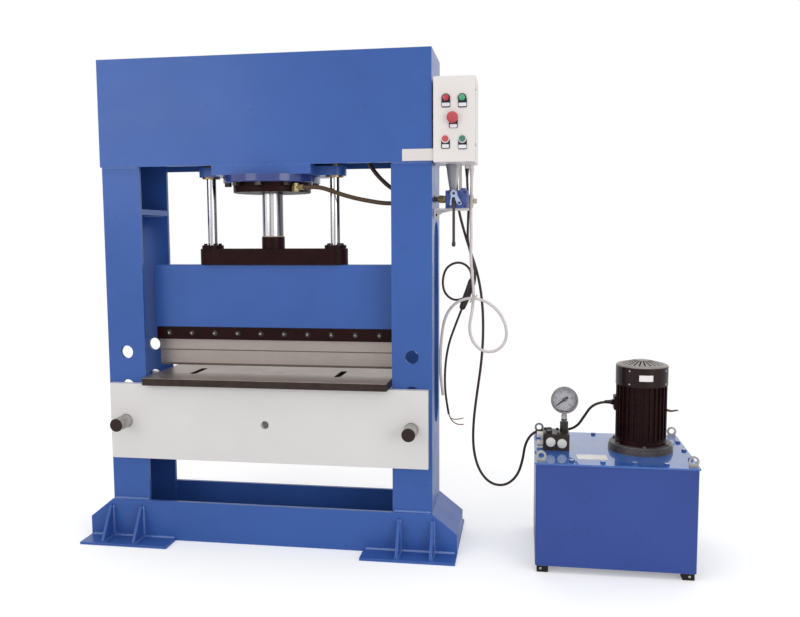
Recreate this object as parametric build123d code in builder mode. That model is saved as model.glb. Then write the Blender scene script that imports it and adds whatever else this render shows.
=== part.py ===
from build123d import *
import math
import os

os.makedirs("parts", exist_ok=True)

# Main sizes of the press, in millimetres.
# X runs across the press, Y towards its back and Z up. The floor under the ram is the origin.
press_height = 1850
plate = 14
outer_x = 635
inner_x = 485
upright_y = 125
face_y = upright_y + plate
crown_z = 1450
base_x = 728
base_z = 156
base_shoulder_z = 82
base_floor = 8
foot_reach = 90
foot_length = 352
foot_plate = 10

# Pins and the holes that they go in
pin_x = 560
pin_r = 25
pin_z = 475
pin_pitch = 133
pin_front_y = -232
pin_back_y = 176
pin_fit = 0.08

# Bed, the pair of plates that carries the die plate
bed_x = 622
bed_plate = 25
bed_low_z = 328
bed_top_z = 622
die_x = 475
die_y = 185
die_plate_t = 28
die_top_z = bed_top_z + die_plate_t

# Cylinder, ram and guide rods
mount_plate_z = 1415
cylinder_r = 112
cylinder_bore_r = 80
cylinder_top_z = 1790
flange_r = 185
flange_z = 1387
gland_r = 148
gland_z = 1352
rod_r = 40
piston_z = 1480
guide_x = 247
guide_r = 18
bush_r = 26
running_fit = 0.05

# Ram beam and its tooling
crosshead_z = 1077
crosshead_top_z = 1139
beam_z = 832
beam_x = 475
beam_y = 35
clamp_z = 783
punch_tip_z = 675

# Control box, valve and hand lever on the right side
box_x0 = 641
box_x1 = 791
box_y0 = -139
box_y1 = 16
box_z0 = 1446
box_z1 = 1744
box_wall = 2
door_y = -152
hinge_x = 795
hinge_y = -146
valve_x = 718.5
valve_y = -40
valve_z = 1318.5
lever_x = 710
lever_y = -92
lever_z = 1340

# Power unit, which stands on the floor beside the press
tank_x0 = 1012
tank_x1 = 1560
tank_y0 = -238
tank_y1 = 214
tank_z0 = 25
tank_z1 = 390
cover_top_z = 396
motor_x = 1396
motor_r = 91
gauge_x = 1117
gauge_z = 577
gauge_y = -20

base_outline = [
    (-base_x, 0),
    (base_x, 0),
    (base_x, base_shoulder_z),
    (outer_x, base_z),
    (-outer_x, base_z),
    (-base_x, base_shoulder_z),
]


# Base: a bent floor pan between two deep edge plates
pan_outline = [
    (-base_x, 0),
    (base_x, 0),
    (base_x, base_shoulder_z),
    (outer_x, base_z),
    (outer_x, base_z - 12.8),
    (base_x - 10, base_shoulder_z - 4.8),
    (base_x - 10, base_floor),
    (-base_x + 10, base_floor),
    (-base_x + 10, base_shoulder_z - 4.8),
    (-outer_x, base_z - 12.8),
    (-outer_x, base_z),
    (-base_x, base_shoulder_z),
]
with BuildPart() as base_pan:
    with BuildSketch(Plane.XZ):
        with BuildLine():
            Polyline(*pan_outline, close=True)
        make_face()
    extrude(amount=upright_y, both=True)
base_pan.part.label = "base_pan"
export_step(base_pan.part, "parts/base_pan.step")

with BuildPart() as base_plates:
    for start in (upright_y, -face_y):
        with BuildSketch(Plane.XZ.offset(start)):
            with BuildLine():
                Polyline(*base_outline, close=True)
            make_face()
        extrude(amount=plate)
base_plates.part.label = "base_plates"
export_step(base_plates.part, "parts/base_plates.step")

# Feet: a floor plate and two upright gussets at each of the four corners, welded together
foot_x = base_x - foot_length / 2
with BuildPart() as feet:
    for sign in (-1, 1):
        for front in (-1, 1):
            with Locations((sign * foot_x, front * (face_y + foot_reach / 2), foot_plate / 2)):
                Box(foot_length, foot_reach, foot_plate)
            for x in (512, 638):
                with BuildSketch(Plane.YZ.offset(sign * x)):
                    with BuildLine():
                        Polyline(
                            (front * face_y, foot_plate),
                            (front * (face_y + foot_reach - 6), foot_plate),
                            (front * (face_y + foot_reach - 6), foot_plate + 8),
                            (front * (face_y + 12), 134),
                            (front * face_y, 134),
                            close=True,
                        )
                    make_face()
                extrude(amount=5, both=True)
feet.part.label = "feet"
export_step(feet.part, "parts/feet.step")

# Uprights: welded channels, open towards the middle, with rows of pin holes and a long window in the web
window_y = 15
window_w = 140
window_z0 = 470
window_z1 = 1240
upright_top = press_height - plate
for side, sign in (("left", -1), ("right", 1)):
    with BuildPart() as upright:
        with BuildSketch(Plane.XY.offset(base_floor)):
            with Locations((sign * (inner_x + outer_x) / 2, 0)):
                Rectangle(outer_x - inner_x, 2 * upright_y)
            with Locations((sign * (inner_x + outer_x - plate) / 2, 0)):
                Rectangle(outer_x - inner_x - plate, 2 * (upright_y - plate), mode=Mode.SUBTRACT)
        extrude(amount=upright_top - base_floor)
        with Locations((sign * (inner_x + outer_x - plate) / 2, 0, 1282)):
            Box(outer_x - inner_x - plate, 2 * (upright_y - plate), 20)
        with BuildSketch(Plane.XZ):
            with Locations(*[(sign * pin_x, pin_z + n * pin_pitch) for n in range(3)]):
                Circle(pin_r + pin_fit)
        extrude(amount=upright_y + 5, both=True, mode=Mode.SUBTRACT)
        with BuildSketch(Plane.YZ.offset(sign * (outer_x - plate / 2))):
            with Locations((window_y, (window_z0 + window_z1) / 2)):
                SlotOverall(window_z1 - window_z0, window_w, rotation=90)
        extrude(amount=plate, both=True, mode=Mode.SUBTRACT)
        if side == "right":
            with BuildSketch(Plane.YZ.offset(outer_x - plate / 2)):
                with Locations((-50, 1320), (-18, 1320)):
                    Circle(14)
            extrude(amount=plate, both=True, mode=Mode.SUBTRACT)
    upright.part.label = f"{side}_upright"
    export_step(upright.part, f"parts/{side}_upright.step")

# Head of the frame: two deep plates outside the uprights, and a top plate between them
with BuildPart() as crown_plates:
    for start in (upright_y, -face_y):
        with BuildSketch(Plane.XZ.offset(start)):
            with Locations((0, (crown_z + press_height) / 2)):
                Rectangle(2 * outer_x, press_height - crown_z)
        extrude(amount=plate)
crown_plates.part.label = "crown_plates"
export_step(crown_plates.part, "parts/crown_plates.step")

with BuildPart() as crown_top_plate:
    with Locations((0, 0, press_height - plate / 2)):
        Box(2 * outer_x, 2 * upright_y, plate)
crown_top_plate.part.label = "crown_top_plate"
export_step(crown_top_plate.part, "parts/crown_top_plate.step")

# Cylinder mount: a thick plate under the head, with a rounded ear each side for a guide bush
with BuildPart() as cylinder_mount_plate:
    with BuildSketch(Plane.XY.offset(mount_plate_z)):
        Rectangle(380, 2 * face_y)
        SlotOverall(2 * guide_x + 90, 90)
        Circle(cylinder_r + 0.5, mode=Mode.SUBTRACT)
        with Locations((-guide_x, 0), (guide_x, 0)):
            Circle(bush_r, mode=Mode.SUBTRACT)
    extrude(amount=crown_z - mount_plate_z)
cylinder_mount_plate.part.label = "cylinder_mount_plate"
export_step(cylinder_mount_plate.part, "parts/cylinder_mount_plate.step")

with BuildPart() as guide_bushes:
    with BuildSketch(Plane.XZ):
        with BuildLine():
            Polyline(
                (guide_r + running_fit, mount_plate_z - 6),
                (bush_r + 8, mount_plate_z - 6),
                (bush_r + 8, mount_plate_z),
                (bush_r, mount_plate_z),
                (bush_r, crown_z + 8),
                (guide_r + running_fit, crown_z + 8),
                close=True,
            )
        make_face()
    revolve(axis=Axis.Z)
    bush = guide_bushes.part
with BuildPart() as guide_bushes:
    with Locations((-guide_x, 0, 0), (guide_x, 0, 0)):
        add(bush)
guide_bushes.part.label = "guide_bushes"
export_step(guide_bushes.part, "parts/guide_bushes.step")

# Cylinder: a tube with a bolting flange, a closed top and a port near the top
with BuildPart() as cylinder_body:
    with BuildSketch(Plane.XZ):
        with BuildLine():
            Polyline(
                (cylinder_bore_r, flange_z),
                (flange_r - 3, flange_z),
                (flange_r, flange_z + 3),
                (flange_r, mount_plate_z),
                (cylinder_r, mount_plate_z),
                (cylinder_r, cylinder_top_z - 6),
                (cylinder_r - 6, cylinder_top_z),
                (0, cylinder_top_z),
                (0, cylinder_top_z - 30),
                (cylinder_bore_r, cylinder_top_z - 30),
                close=True,
            )
        make_face()
    revolve(axis=Axis.Z)
    with BuildSketch(Plane.YZ.offset(cylinder_r - 10)):
        with Locations((0, 1735)):
            Circle(18)
    extrude(amount=26)
cylinder_body.part.label = "cylinder_body"
export_step(cylinder_body.part, "parts/cylinder_body.step")

with BuildPart() as gland_ring:
    with BuildSketch(Plane.XZ):
        with BuildLine():
            Polyline(
                (rod_r + running_fit, gland_z + 4),
                (rod_r + 8, gland_z),
                (gland_r - 3, gland_z),
                (gland_r, gland_z + 3),
                (gland_r, flange_z),
                (rod_r + running_fit, flange_z),
                close=True,
            )
        make_face()
    revolve(axis=Axis.Z)
gland_ring.part.label = "gland_ring"
export_step(gland_ring.part, "parts/gland_ring.step")

with BuildPart() as flange_bolts:
    with BuildSketch(Plane.XY.offset(flange_z)):
        with PolarLocations(167, 10, start_angle=18):
            RegularPolygon(13, 6)
    extrude(amount=-12)
flange_bolts.part.label = "flange_bolts"
export_step(flange_bolts.part, "parts/flange_bolts.step")

# Bed: a deep plate at the front and one at the back of the uprights, tied by spacers between them
with BuildPart() as bed_plates:
    for start in (upright_y, -upright_y - bed_plate):
        with BuildSketch(Plane.XZ.offset(start)):
            with Locations((0, (bed_low_z + bed_top_z) / 2)):
                Rectangle(2 * bed_x, bed_top_z - bed_low_z)
            with Locations((-pin_x, pin_z), (pin_x, pin_z)):
                Circle(pin_r + 1.5, mode=Mode.SUBTRACT)
            with Locations((0, pin_z)):
                Circle(15.5, mode=Mode.SUBTRACT)
        extrude(amount=bed_plate)
bed_plates.part.label = "bed_plates"
export_step(bed_plates.part, "parts/bed_plates.step")

with BuildPart() as bed_spacers:
    with Locations(*[(x, 0, (bed_low_z + bed_top_z) / 2 + 15) for x in (-455, -155, 155, 455)]):
        Box(16, 2 * upright_y, bed_top_z - bed_low_z - 30)
bed_spacers.part.label = "bed_spacers"
export_step(bed_spacers.part, "parts/bed_spacers.step")

with BuildPart() as die_plate:
    with Locations((0, 0, (bed_top_z + die_top_z) / 2)):
        Box(2 * die_x, 2 * die_y, die_plate_t)
    chamfer(die_plate.edges().filter_by(Axis.Z), 6)
    chamfer(die_plate.faces().sort_by(Axis.Z)[-1].edges(), 1.5)
    with BuildSketch(Plane.XY.offset(die_top_z)):
        with Locations((-321, 0), (262, 0)):
            SlotOverall(134, 26, rotation=90)
        with Locations((-11, 5)):
            Rectangle(92, 3)
    extrude(amount=-16, mode=Mode.SUBTRACT)
die_plate.part.label = "die_plate"
export_step(die_plate.part, "parts/die_plate.step")

# Bed pins, with a chamfer at each end
for side, sign in (("left", -1), ("right", 1)):
    with BuildPart() as pin:
        with BuildSketch(Plane.XZ.offset(-pin_back_y)):
            with Locations((sign * pin_x, pin_z)):
                Circle(pin_r)
        extrude(amount=pin_back_y - pin_front_y)
        chamfer(pin.edges().filter_by(GeomType.CIRCLE), 3)
    pin.part.label = f"{side}_pin"
    export_step(pin.part, f"parts/{side}_pin.step")

# Ram: rod with its piston, collar, crosshead, guide rods and their flanges
with BuildPart() as ram_rod:
    with BuildSketch(Plane.XZ):
        with BuildLine():
            Polyline(
                (0, crosshead_top_z),
                (rod_r, crosshead_top_z),
                (rod_r, piston_z),
                (cylinder_bore_r - running_fit, piston_z),
                (cylinder_bore_r - running_fit, piston_z + 50),
                (0, piston_z + 50),
                close=True,
            )
        make_face()
    revolve(axis=Axis.Z)
ram_rod.part.label = "ram_rod"
export_step(ram_rod.part, "parts/ram_rod.step")

with BuildPart() as rod_collar:
    with BuildSketch(Plane.XY.offset(crosshead_top_z)):
        Circle(44)
        Circle(rod_r, mode=Mode.SUBTRACT)
    extrude(amount=45)
    chamfer(rod_collar.faces().sort_by(Axis.Z)[-1].edges().sort_by(SortBy.LENGTH)[-1], 2)
rod_collar.part.label = "rod_collar"
export_step(rod_collar.part, "parts/rod_collar.step")

with BuildPart() as crosshead:
    with BuildSketch(Plane.XY.offset(crosshead_z)):
        SlotOverall(2 * guide_x + 96, 96)
    extrude(amount=crosshead_top_z - crosshead_z)
    chamfer(crosshead.faces().sort_by(Axis.Z)[-1].edges(), 2)
crosshead.part.label = "crosshead"
export_step(crosshead.part, "parts/crosshead.step")

with BuildPart() as guide_rods:
    with BuildSketch(Plane.XY.offset(crosshead_top_z)):
        with Locations((-guide_x, 0), (guide_x, 0)):
            Circle(guide_r)
    extrude(amount=365)
    chamfer(guide_rods.faces().sort_by(Axis.Z)[-2:].edges(), 3)
guide_rods.part.label = "guide_rods"
export_step(guide_rods.part, "parts/guide_rods.step")

with BuildPart() as rod_flanges:
    with BuildSketch(Plane.XY.offset(crosshead_top_z)):
        with Locations((-guide_x, 0), (guide_x, 0)):
            Circle(42)
            Circle(guide_r, mode=Mode.SUBTRACT)
    extrude(amount=13)
    with BuildSketch(Plane.XY.offset(crosshead_top_z + 13)):
        for x in (-guide_x, guide_x):
            with Locations((x, 0)):
                with PolarLocations(30, 4, start_angle=45):
                    RegularPolygon(7, 6)
    extrude(amount=7)
rod_flanges.part.label = "rod_flanges"
export_step(rod_flanges.part, "parts/rod_flanges.step")

with BuildPart() as ram_beam:
    with Locations((0, 0, (beam_z + crosshead_z) / 2)):
        Box(2 * beam_x, 2 * beam_y, crosshead_z - beam_z)
    chamfer(ram_beam.edges().filter_by(Axis.X), 2)
ram_beam.part.label = "ram_beam"
export_step(ram_beam.part, "parts/ram_beam.step")

# Clamp bar: a long block with a groove underneath for the tang of the punch
with BuildPart() as clamp_bar:
    with BuildSketch(Plane.YZ):
        with BuildLine():
            Polyline(
                (-beam_y, clamp_z),
                (-10, clamp_z),
                (-10, clamp_z + 28),
                (10, clamp_z + 28),
                (10, clamp_z),
                (beam_y, clamp_z),
                (beam_y, beam_z),
                (-beam_y, beam_z),
                close=True,
            )
        make_face()
    extrude(amount=beam_x, both=True)
clamp_bar.part.label = "clamp_bar"
export_step(clamp_bar.part, "parts/clamp_bar.step")

with BuildPart() as clamp_bolts:
    with BuildSketch(Plane.XZ.offset(beam_y)):
        with Locations(*[(-423 + 94 * n, 808) for n in range(10)]):
            RegularPolygon(8, 6)
    extrude(amount=7)
clamp_bolts.part.label = "clamp_bolts"
export_step(clamp_bolts.part, "parts/clamp_bolts.step")

# Punch: a full-width blade with a tang, a shoulder and a right-angled nose
with BuildPart() as punch:
    with BuildSketch(Plane.YZ):
        with BuildLine():
            Polyline(
                (0, punch_tip_z),
                (10, punch_tip_z + 10),
                (10, 736),
                (15, 741),
                (15, clamp_z),
                (10, clamp_z),
                (10, clamp_z + 26),
                (-10, clamp_z + 26),
                (-10, clamp_z),
                (-15, clamp_z),
                (-15, 741),
                (-10, 736),
                (-10, punch_tip_z + 10),
                close=True,
            )
        make_face()
    extrude(amount=beam_x, both=True)
punch.part.label = "punch"
export_step(punch.part, "parts/punch.step")

# Control box: an open-fronted shell with hinge knuckles and three cable glands underneath
gland_spots = [(712, 4), (751, 5), (768.5, 5)]
with BuildPart() as control_box_shell:
    with Locations(((box_x0 + box_x1) / 2, (box_y0 + box_y1) / 2, (box_z0 + box_z1) / 2)):
        Box(box_x1 - box_x0, box_y1 - box_y0, box_z1 - box_z0)
    fillet(control_box_shell.edges().filter_by(Axis.Y), 4)
    with Locations(((box_x0 + box_x1) / 2, (box_y0 + box_y1) / 2 - box_wall, (box_z0 + box_z1) / 2)):
        Box(
            box_x1 - box_x0 - 2 * box_wall,
            box_y1 - box_y0,
            box_z1 - box_z0 - 2 * box_wall,
            mode=Mode.SUBTRACT,
        )
    with BuildSketch(Plane.XY.offset(box_z0)):
        with Locations(*gland_spots):
            RegularPolygon(8.5, 6)
    extrude(amount=-12)
    for z in (1500, 1690):
        with Locations((hinge_x, hinge_y, z + 6)):
            Cylinder(4, 12)
        with Locations((hinge_x, hinge_y, z)):
            Cylinder(2, 26)
        with Locations((box_x1 + 1, (box_y0 + hinge_y) / 2 + 4, z + 6)):
            Box(2, 15, 12)
        with Locations((hinge_x - 2, hinge_y + 2, z + 6)):
            Box(4, 4, 12)
control_box_shell.part.label = "control_box_shell"
export_step(control_box_shell.part, "parts/control_box_shell.step")

# Door: a shallow tray with two knuckles on the right and a raised bezel round each button
bezels = [(685, 1527, 11 + running_fit), (745, 1526, 11 + running_fit), (711, 1599, 8 + running_fit)]
with BuildPart() as door:
    door_x = (box_x0 + box_x1) / 2 + 0.2
    door_w = box_x1 - box_x0 - 1.6
    with Locations((door_x, (door_y - 140) / 2, (box_z0 + box_z1) / 2)):
        Box(door_w, 12, box_z1 - box_z0)
    fillet(door.edges().filter_by(Axis.Y), 4)
    chamfer(door.faces().sort_by(Axis.Y)[0].edges(), 1.5)
    with Locations((door_x, (door_y - 140) / 2 + box_wall, (box_z0 + box_z1) / 2)):
        Box(door_w - 2 * box_wall, 12, box_z1 - box_z0 - 2 * box_wall, mode=Mode.SUBTRACT)
    for x, z, bore in bezels:
        with BuildSketch(Plane.XZ.offset(-door_y)):
            with Locations((x, z)):
                Circle(15)
        extrude(amount=3)
        with BuildSketch(Plane.XZ.offset(-door_y - 5)):
            with Locations((x, z)):
                Circle(bore)
        extrude(amount=12, mode=Mode.SUBTRACT)
    for z in (1486, 1676):
        with Locations((hinge_x, hinge_y, z + 7)):
            Cylinder(4, 12)
        with Locations((box_x1 + 0.75, hinge_y - 1, z + 7)):
            Box(5.5, 6, 12)
        with Locations((hinge_x, hinge_y, z + 7)):
            Cylinder(2.08, 14, mode=Mode.SUBTRACT)
door.part.label = "door"
export_step(door.part, "parts/door.step")

for name, x, z in (("red_lamp", 687, 1668), ("green_lamp", 744, 1667)):
    with BuildPart() as lamp:
        with BuildSketch(Plane.XY):
            with BuildLine():
                Polyline((0, 0), (14, 0), (14, 4), (11, 4), (11, 11), (8, 15.5), (0, 17), (0, 0))
            make_face()
        revolve(axis=Axis.Y)
        lamp_shape = lamp.part
    with BuildPart() as lamp:
        with Locations(Location((x, door_y, z), (0, 0, 180))):
            add(lamp_shape)
    lamp.part.label = name
    export_step(lamp.part, f"parts/{name}.step")

for name, x, z in (("stop_button", 685, 1527), ("start_button", 745, 1526)):
    with BuildPart() as button:
        with BuildSketch(Plane.XZ.offset(149.7)):
            with Locations((x, z)):
                Circle(11)
        extrude(amount=10.3)
        chamfer(button.faces().sort_by(Axis.Y)[0].edges(), 1)
        with BuildSketch(Plane.XZ.offset(149.7)):
            with Locations((x, z)):
                Circle(13)
        extrude(amount=-2.5)
    button.part.label = name
    export_step(button.part, f"parts/{name}.step")

with BuildPart() as estop_button:
    with BuildSketch(Plane.XY):
        with BuildLine():
            Polyline((0, 0), (10, 0), (10, 2.5), (8, 2.5), (8, 17), (20, 17), (20, 25), (13, 29.5), (0, 31), (0, 0))
        make_face()
    revolve(axis=Axis.Y)
    estop_shape = estop_button.part
with BuildPart() as estop_button:
    with Locations(Location((711, -147.2, 1599), (0, 0, 180))):
        add(estop_shape)
estop_button.part.label = "estop_button"
export_step(estop_button.part, "parts/estop_button.step")

# Contactor and terminal rail on the back wall of the box
with BuildPart() as box_contents:
    with Locations((716, box_y1 - box_wall - 1.5, 1600)):
        Box(126, 3, 250)
    with Locations((700, -20, 1650)):
        Box(56, 62, 84)
    with Locations((700, -24, 1672), (700, -24, 1628)):
        Box(56, 70, 16)
    with Locations((716, -2, 1560)):
        Box(110, 26, 34)
    with Locations(*[(668 + 12 * n, -18, 1560) for n in range(9)]):
        Box(7, 10, 22)
box_contents.part.label = "box_contents"
export_step(box_contents.part, "parts/box_contents.step")

# Flat strap that holds the box to the front of the head
with BuildPart() as box_strap:
    with Locations(((529 + box_x0) / 2, -face_y - 1.5, 1474)):
        Box(box_x0 - 529, 3, 42)
    with Locations((box_x0 - 2, (-face_y - 3 - 60) / 2, 1474)):
        Box(4, face_y + 3 - 60, 42)
box_strap.part.label = "box_strap"
export_step(box_strap.part, "parts/box_strap.step")

# Hand valve: a cast block with port bosses, a lever clevis in front and a bore for its spool
with BuildPart() as valve_body:
    with Locations((valve_x, valve_y, valve_z)):
        Box(83, 60, 65)
    fillet(valve_body.edges().filter_by(Axis.Z), 6)
    chamfer(valve_body.faces().sort_by(Axis.Z)[-1].edges(), 2)
    with Locations((703, valve_y, 1352)):
        Cylinder(12, 8)
    with Locations((742, valve_y, 1354)):
        Cylinder(9, 12)
    with BuildSketch(Plane.XZ.offset(60)):
        with Locations((lever_x, 1318)):
            Circle(15)
        with Locations((745, 1318)):
            Circle(11)
    extrude(amount=16)
    with BuildSketch(Plane.XZ.offset(60)):
        with Locations((lever_x, 1318)):
            Circle(6 + running_fit)
    extrude(amount=36, both=True, mode=Mode.SUBTRACT)
    for x in (lever_x - 11.5, lever_x + 11.5):
        with BuildSketch(Plane.YZ.offset(x)):
            with BuildLine():
                Polyline((-66, 1349), (-66, 1322), (-84, 1330), (-101, 1334), (-101, 1346), (-84, 1349), close=True)
            make_face()
        extrude(amount=2, both=True)
    with BuildSketch(Plane.YZ.offset(lever_x - 13.5)):
        with Locations((lever_y, lever_z)):
            Circle(4)
    extrude(amount=27)
valve_body.part.label = "valve_body"
export_step(valve_body.part, "parts/valve_body.step")

with BuildPart() as valve_spool:
    with BuildSketch(Plane.XZ.offset(34)):
        with Locations((lever_x, 1318)):
            Circle(6)
    extrude(amount=52)
    chamfer(valve_spool.faces().sort_by(Axis.Y)[0].edges(), 4)
valve_spool.part.label = "valve_spool"
export_step(valve_spool.part, "parts/valve_spool.step")

with BuildPart() as hand_lever:
    with BuildSketch(Plane.YZ.offset(lever_x - 9)):
        with Locations((lever_y, lever_z)):
            Circle(9)
    extrude(amount=18)
    with BuildSketch(Plane.XY.offset(lever_z - 5)):
        with Locations((lever_x, lever_y)):
            Circle(5)
    extrude(amount=-182)
    with BuildSketch(Plane.XZ.offset(-lever_y)):
        with BuildLine():
            Polyline(
                (lever_x, lever_z - 194),
                (lever_x + 4, lever_z - 194),
                (lever_x + 7, lever_z - 189),
                (lever_x + 7, lever_z - 180),
                (lever_x + 4, lever_z - 172),
                (lever_x, lever_z - 172),
                close=True,
            )
        make_face()
    revolve(axis=Axis((lever_x, lever_y, 0), (0, 0, 1)))
    with BuildSketch(Plane.YZ.offset(lever_x - 9)):
        with Locations((lever_y, lever_z)):
            Circle(4 + running_fit)
    extrude(amount=18, mode=Mode.SUBTRACT)
hand_lever.part.label = "hand_lever"
export_step(hand_lever.part, "parts/hand_lever.step")

# Shelf under the valve, bolted to the side of the upright, and the strip up to the box
with BuildPart() as valve_bracket:
    with Locations((697.5, -32, 1282)):
        Box(125, 60, 8)
    with Locations((638, -32, 1265)):
        Box(6, 60, 26)
    with Locations((727.5, -12.5 + 6, (1286 + box_z0) / 2)):
        Box(11, 3, box_z0 - 1286)
valve_bracket.part.label = "valve_bracket"
export_step(valve_bracket.part, "parts/valve_bracket.step")

with BuildPart() as valve_boot:
    with BuildSketch(Plane.XZ):
        with BuildLine():
            Polyline((0, 1356), (13, 1356), (20, 1400), (24, 1434), (26, 1436), (26, box_z0), (0, box_z0), close=True)
        make_face()
    revolve(axis=Axis.Z)
    boot_shape = valve_boot.part
with BuildPart() as valve_boot:
    with Locations((703, valve_y, 0)):
        add(boot_shape)
valve_boot.part.label = "valve_boot"
export_step(valve_boot.part, "parts/valve_boot.step")

# Fittings on the hoses: a banjo on the gland, a union on the top port and two at the valve
banjo_angle = -42
banjo_x = 168 * math.cos(math.radians(banjo_angle))
banjo_y = 168 * math.sin(math.radians(banjo_angle))
banjo_axis = (math.cos(math.radians(banjo_angle)), math.sin(math.radians(banjo_angle)), 0)
with BuildPart() as hose_fittings:
    with BuildSketch(Plane(origin=(0, 0, 1367), x_dir=(0, 0, 1), z_dir=banjo_axis).offset(gland_r)):
        Circle(9)
    extrude(amount=16)
    with BuildSketch(Plane.XY.offset(gland_z)):
        with Locations((banjo_x, banjo_y)):
            RegularPolygon(13, 6, rotation=30)
    extrude(amount=30)
    with BuildSketch(Plane.YZ.offset(banjo_x)):
        with Locations((banjo_y, 1367)):
            RegularPolygon(11, 6)
    extrude(amount=30)
    with BuildSketch(Plane.YZ.offset(128)):
        with Locations((0, 1735)):
            RegularPolygon(14, 6)
    extrude(amount=24)
    with BuildSketch(Plane.YZ.offset(648)):
        with Locations((-50, 1320), (-18, 1320)):
            RegularPolygon(12, 8)
    extrude(amount=valve_x - 41.5 - 648)
    with BuildSketch(Plane.YZ.offset(655)):
        with Locations((-50, 1320), (-18, 1320)):
            RegularPolygon(15.5, 6)
    extrude(amount=14)
hose_fittings.part.label = "hose_fittings"
export_step(hose_fittings.part, "parts/hose_fittings.step")

# Oil tank on four feet, with a lipped cover plate and an eye at each corner to lift it by
tank_x = (tank_x0 + tank_x1) / 2
tank_y = (tank_y0 + tank_y1) / 2
tank_w = tank_x1 - tank_x0
tank_d = tank_y1 - tank_y0
with BuildPart() as tank_shell:
    with BuildSketch(Plane.XY.offset(tank_z0)):
        with Locations((tank_x, tank_y)):
            RectangleRounded(tank_w, tank_d, 8)
    extrude(amount=tank_z1 - tank_z0)
    with BuildSketch(Plane.XY.offset(tank_z0 + 4)):
        with Locations((tank_x, tank_y)):
            RectangleRounded(tank_w - 8, tank_d - 8, 4)
    extrude(amount=tank_z1 - tank_z0 - 4, mode=Mode.SUBTRACT)
    with Locations((tank_x, tank_y, tank_z0 / 2)):
        with GridLocations(tank_w - 52, tank_d - 52, 2, 2):
            Box(40, 40, tank_z0)
tank_shell.part.label = "tank_shell"
export_step(tank_shell.part, "parts/tank_shell.step")

with BuildPart() as tank_cover:
    with BuildSketch(Plane.XY.offset(tank_z1)):
        with Locations((tank_x, tank_y)):
            RectangleRounded(tank_w + 8, tank_d + 8, 6)
    extrude(amount=cover_top_z - tank_z1)
tank_cover.part.label = "tank_cover"
export_step(tank_cover.part, "parts/tank_cover.step")

with BuildPart() as lifting_eyes:
    with BuildSketch(Plane.XZ.offset(-tank_y)):
        with Locations((tank_x - 256, cover_top_z + 21), (tank_x + 256, cover_top_z + 21)):
            Circle(18)
        with Locations((tank_x - 256, cover_top_z + 9), (tank_x + 256, cover_top_z + 9)):
            Rectangle(30, 18)
        with Locations((tank_x - 256, cover_top_z + 22), (tank_x + 256, cover_top_z + 22)):
            Circle(10, mode=Mode.SUBTRACT)
    extrude(amount=214, both=True)
    with Locations((tank_x, tank_y, cover_top_z + 30)):
        Box(tank_w, 412, 61, mode=Mode.SUBTRACT)
lifting_eyes.part.label = "lifting_eyes"
export_step(lifting_eyes.part, "parts/lifting_eyes.step")

with BuildPart() as cover_bolts:
    with BuildSketch(Plane.XY.offset(cover_top_z)):
        with Locations(
            *[(1135 + 107 * n, -210) for n in range(4)],
            *[(1135 + 107 * n, 190) for n in range(4)],
            *[(1550, -130 + 118 * n) for n in range(3)],
            (1026, -130),
            (1026, 106),
        ):
            RegularPolygon(9, 6)
    extrude(amount=7)
cover_bolts.part.label = "cover_bolts"
export_step(cover_bolts.part, "parts/cover_bolts.step")

# Valve block on the cover, its port caps and the pressure gauge on a stem above it
with BuildPart() as manifold_block:
    with Locations((1087.5, -25, cover_top_z + 30.5)):
        Box(95, 90, 61)
    chamfer(manifold_block.edges().filter_by(Axis.Z), 3)
    with BuildSketch(Plane.XY.offset(cover_top_z + 61)):
        with Locations((gauge_x, gauge_y)):
            RegularPolygon(15, 6)
    extrude(amount=38)
    with BuildSketch(Plane.XY.offset(cover_top_z + 61)):
        with Locations((1062, -45), (1062, -5)):
            RegularPolygon(11, 6)
    extrude(amount=9)
manifold_block.part.label = "manifold_block"
export_step(manifold_block.part, "parts/manifold_block.step")

with BuildPart() as port_caps:
    with BuildSketch(Plane.XZ.offset(70)):
        with Locations((1067, 428), (1108, 424)):
            Circle(17)
    extrude(amount=9)
    with BuildSketch(Plane.YZ.offset(1040)):
        with Locations((-25, 443), (-25, 412)):
            Circle(12)
    extrude(amount=-22)
    chamfer(port_caps.faces().filter_by(Axis.Y).sort_by(Axis.Y)[:2].edges(), 1.5)
port_caps.part.label = "port_caps"
export_step(port_caps.part, "parts/port_caps.step")

with BuildPart() as gauge_case:
    with BuildSketch(Plane.XY):
        with BuildLine():
            Polyline(
                (0, 0),
                (47, 0),
                (47, 22),
                (50, 22),
                (50, 31),
                (45, 31),
                (45, 8),
                (0, 8),
                close=True,
            )
        make_face()
    revolve(axis=Axis.Y)
    case_shape = gauge_case.part
with BuildPart() as gauge_case:
    with Locations(Location((gauge_x, gauge_y + 15, gauge_z), (0, 0, 180))):
        add(case_shape)
    with BuildSketch(Plane.XY.offset(495)):
        with Locations((gauge_x, gauge_y)):
            Circle(7)
    extrude(amount=gauge_z - 47 - 495 + 4)
    with BuildSketch(Plane.XZ.offset(-gauge_y - 7)):
        with Locations((gauge_x, gauge_z)):
            Circle(3)
    extrude(amount=14)
gauge_case.part.label = "gauge_case"
export_step(gauge_case.part, "parts/gauge_case.step")

with BuildPart() as gauge_glass:
    with BuildSketch(Plane.XZ.offset(-gauge_y + 12)):
        with Locations((gauge_x, gauge_z)):
            Circle(45)
    extrude(amount=2)
gauge_glass.part.label = "gauge_glass"
export_step(gauge_glass.part, "parts/gauge_glass.step")

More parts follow.
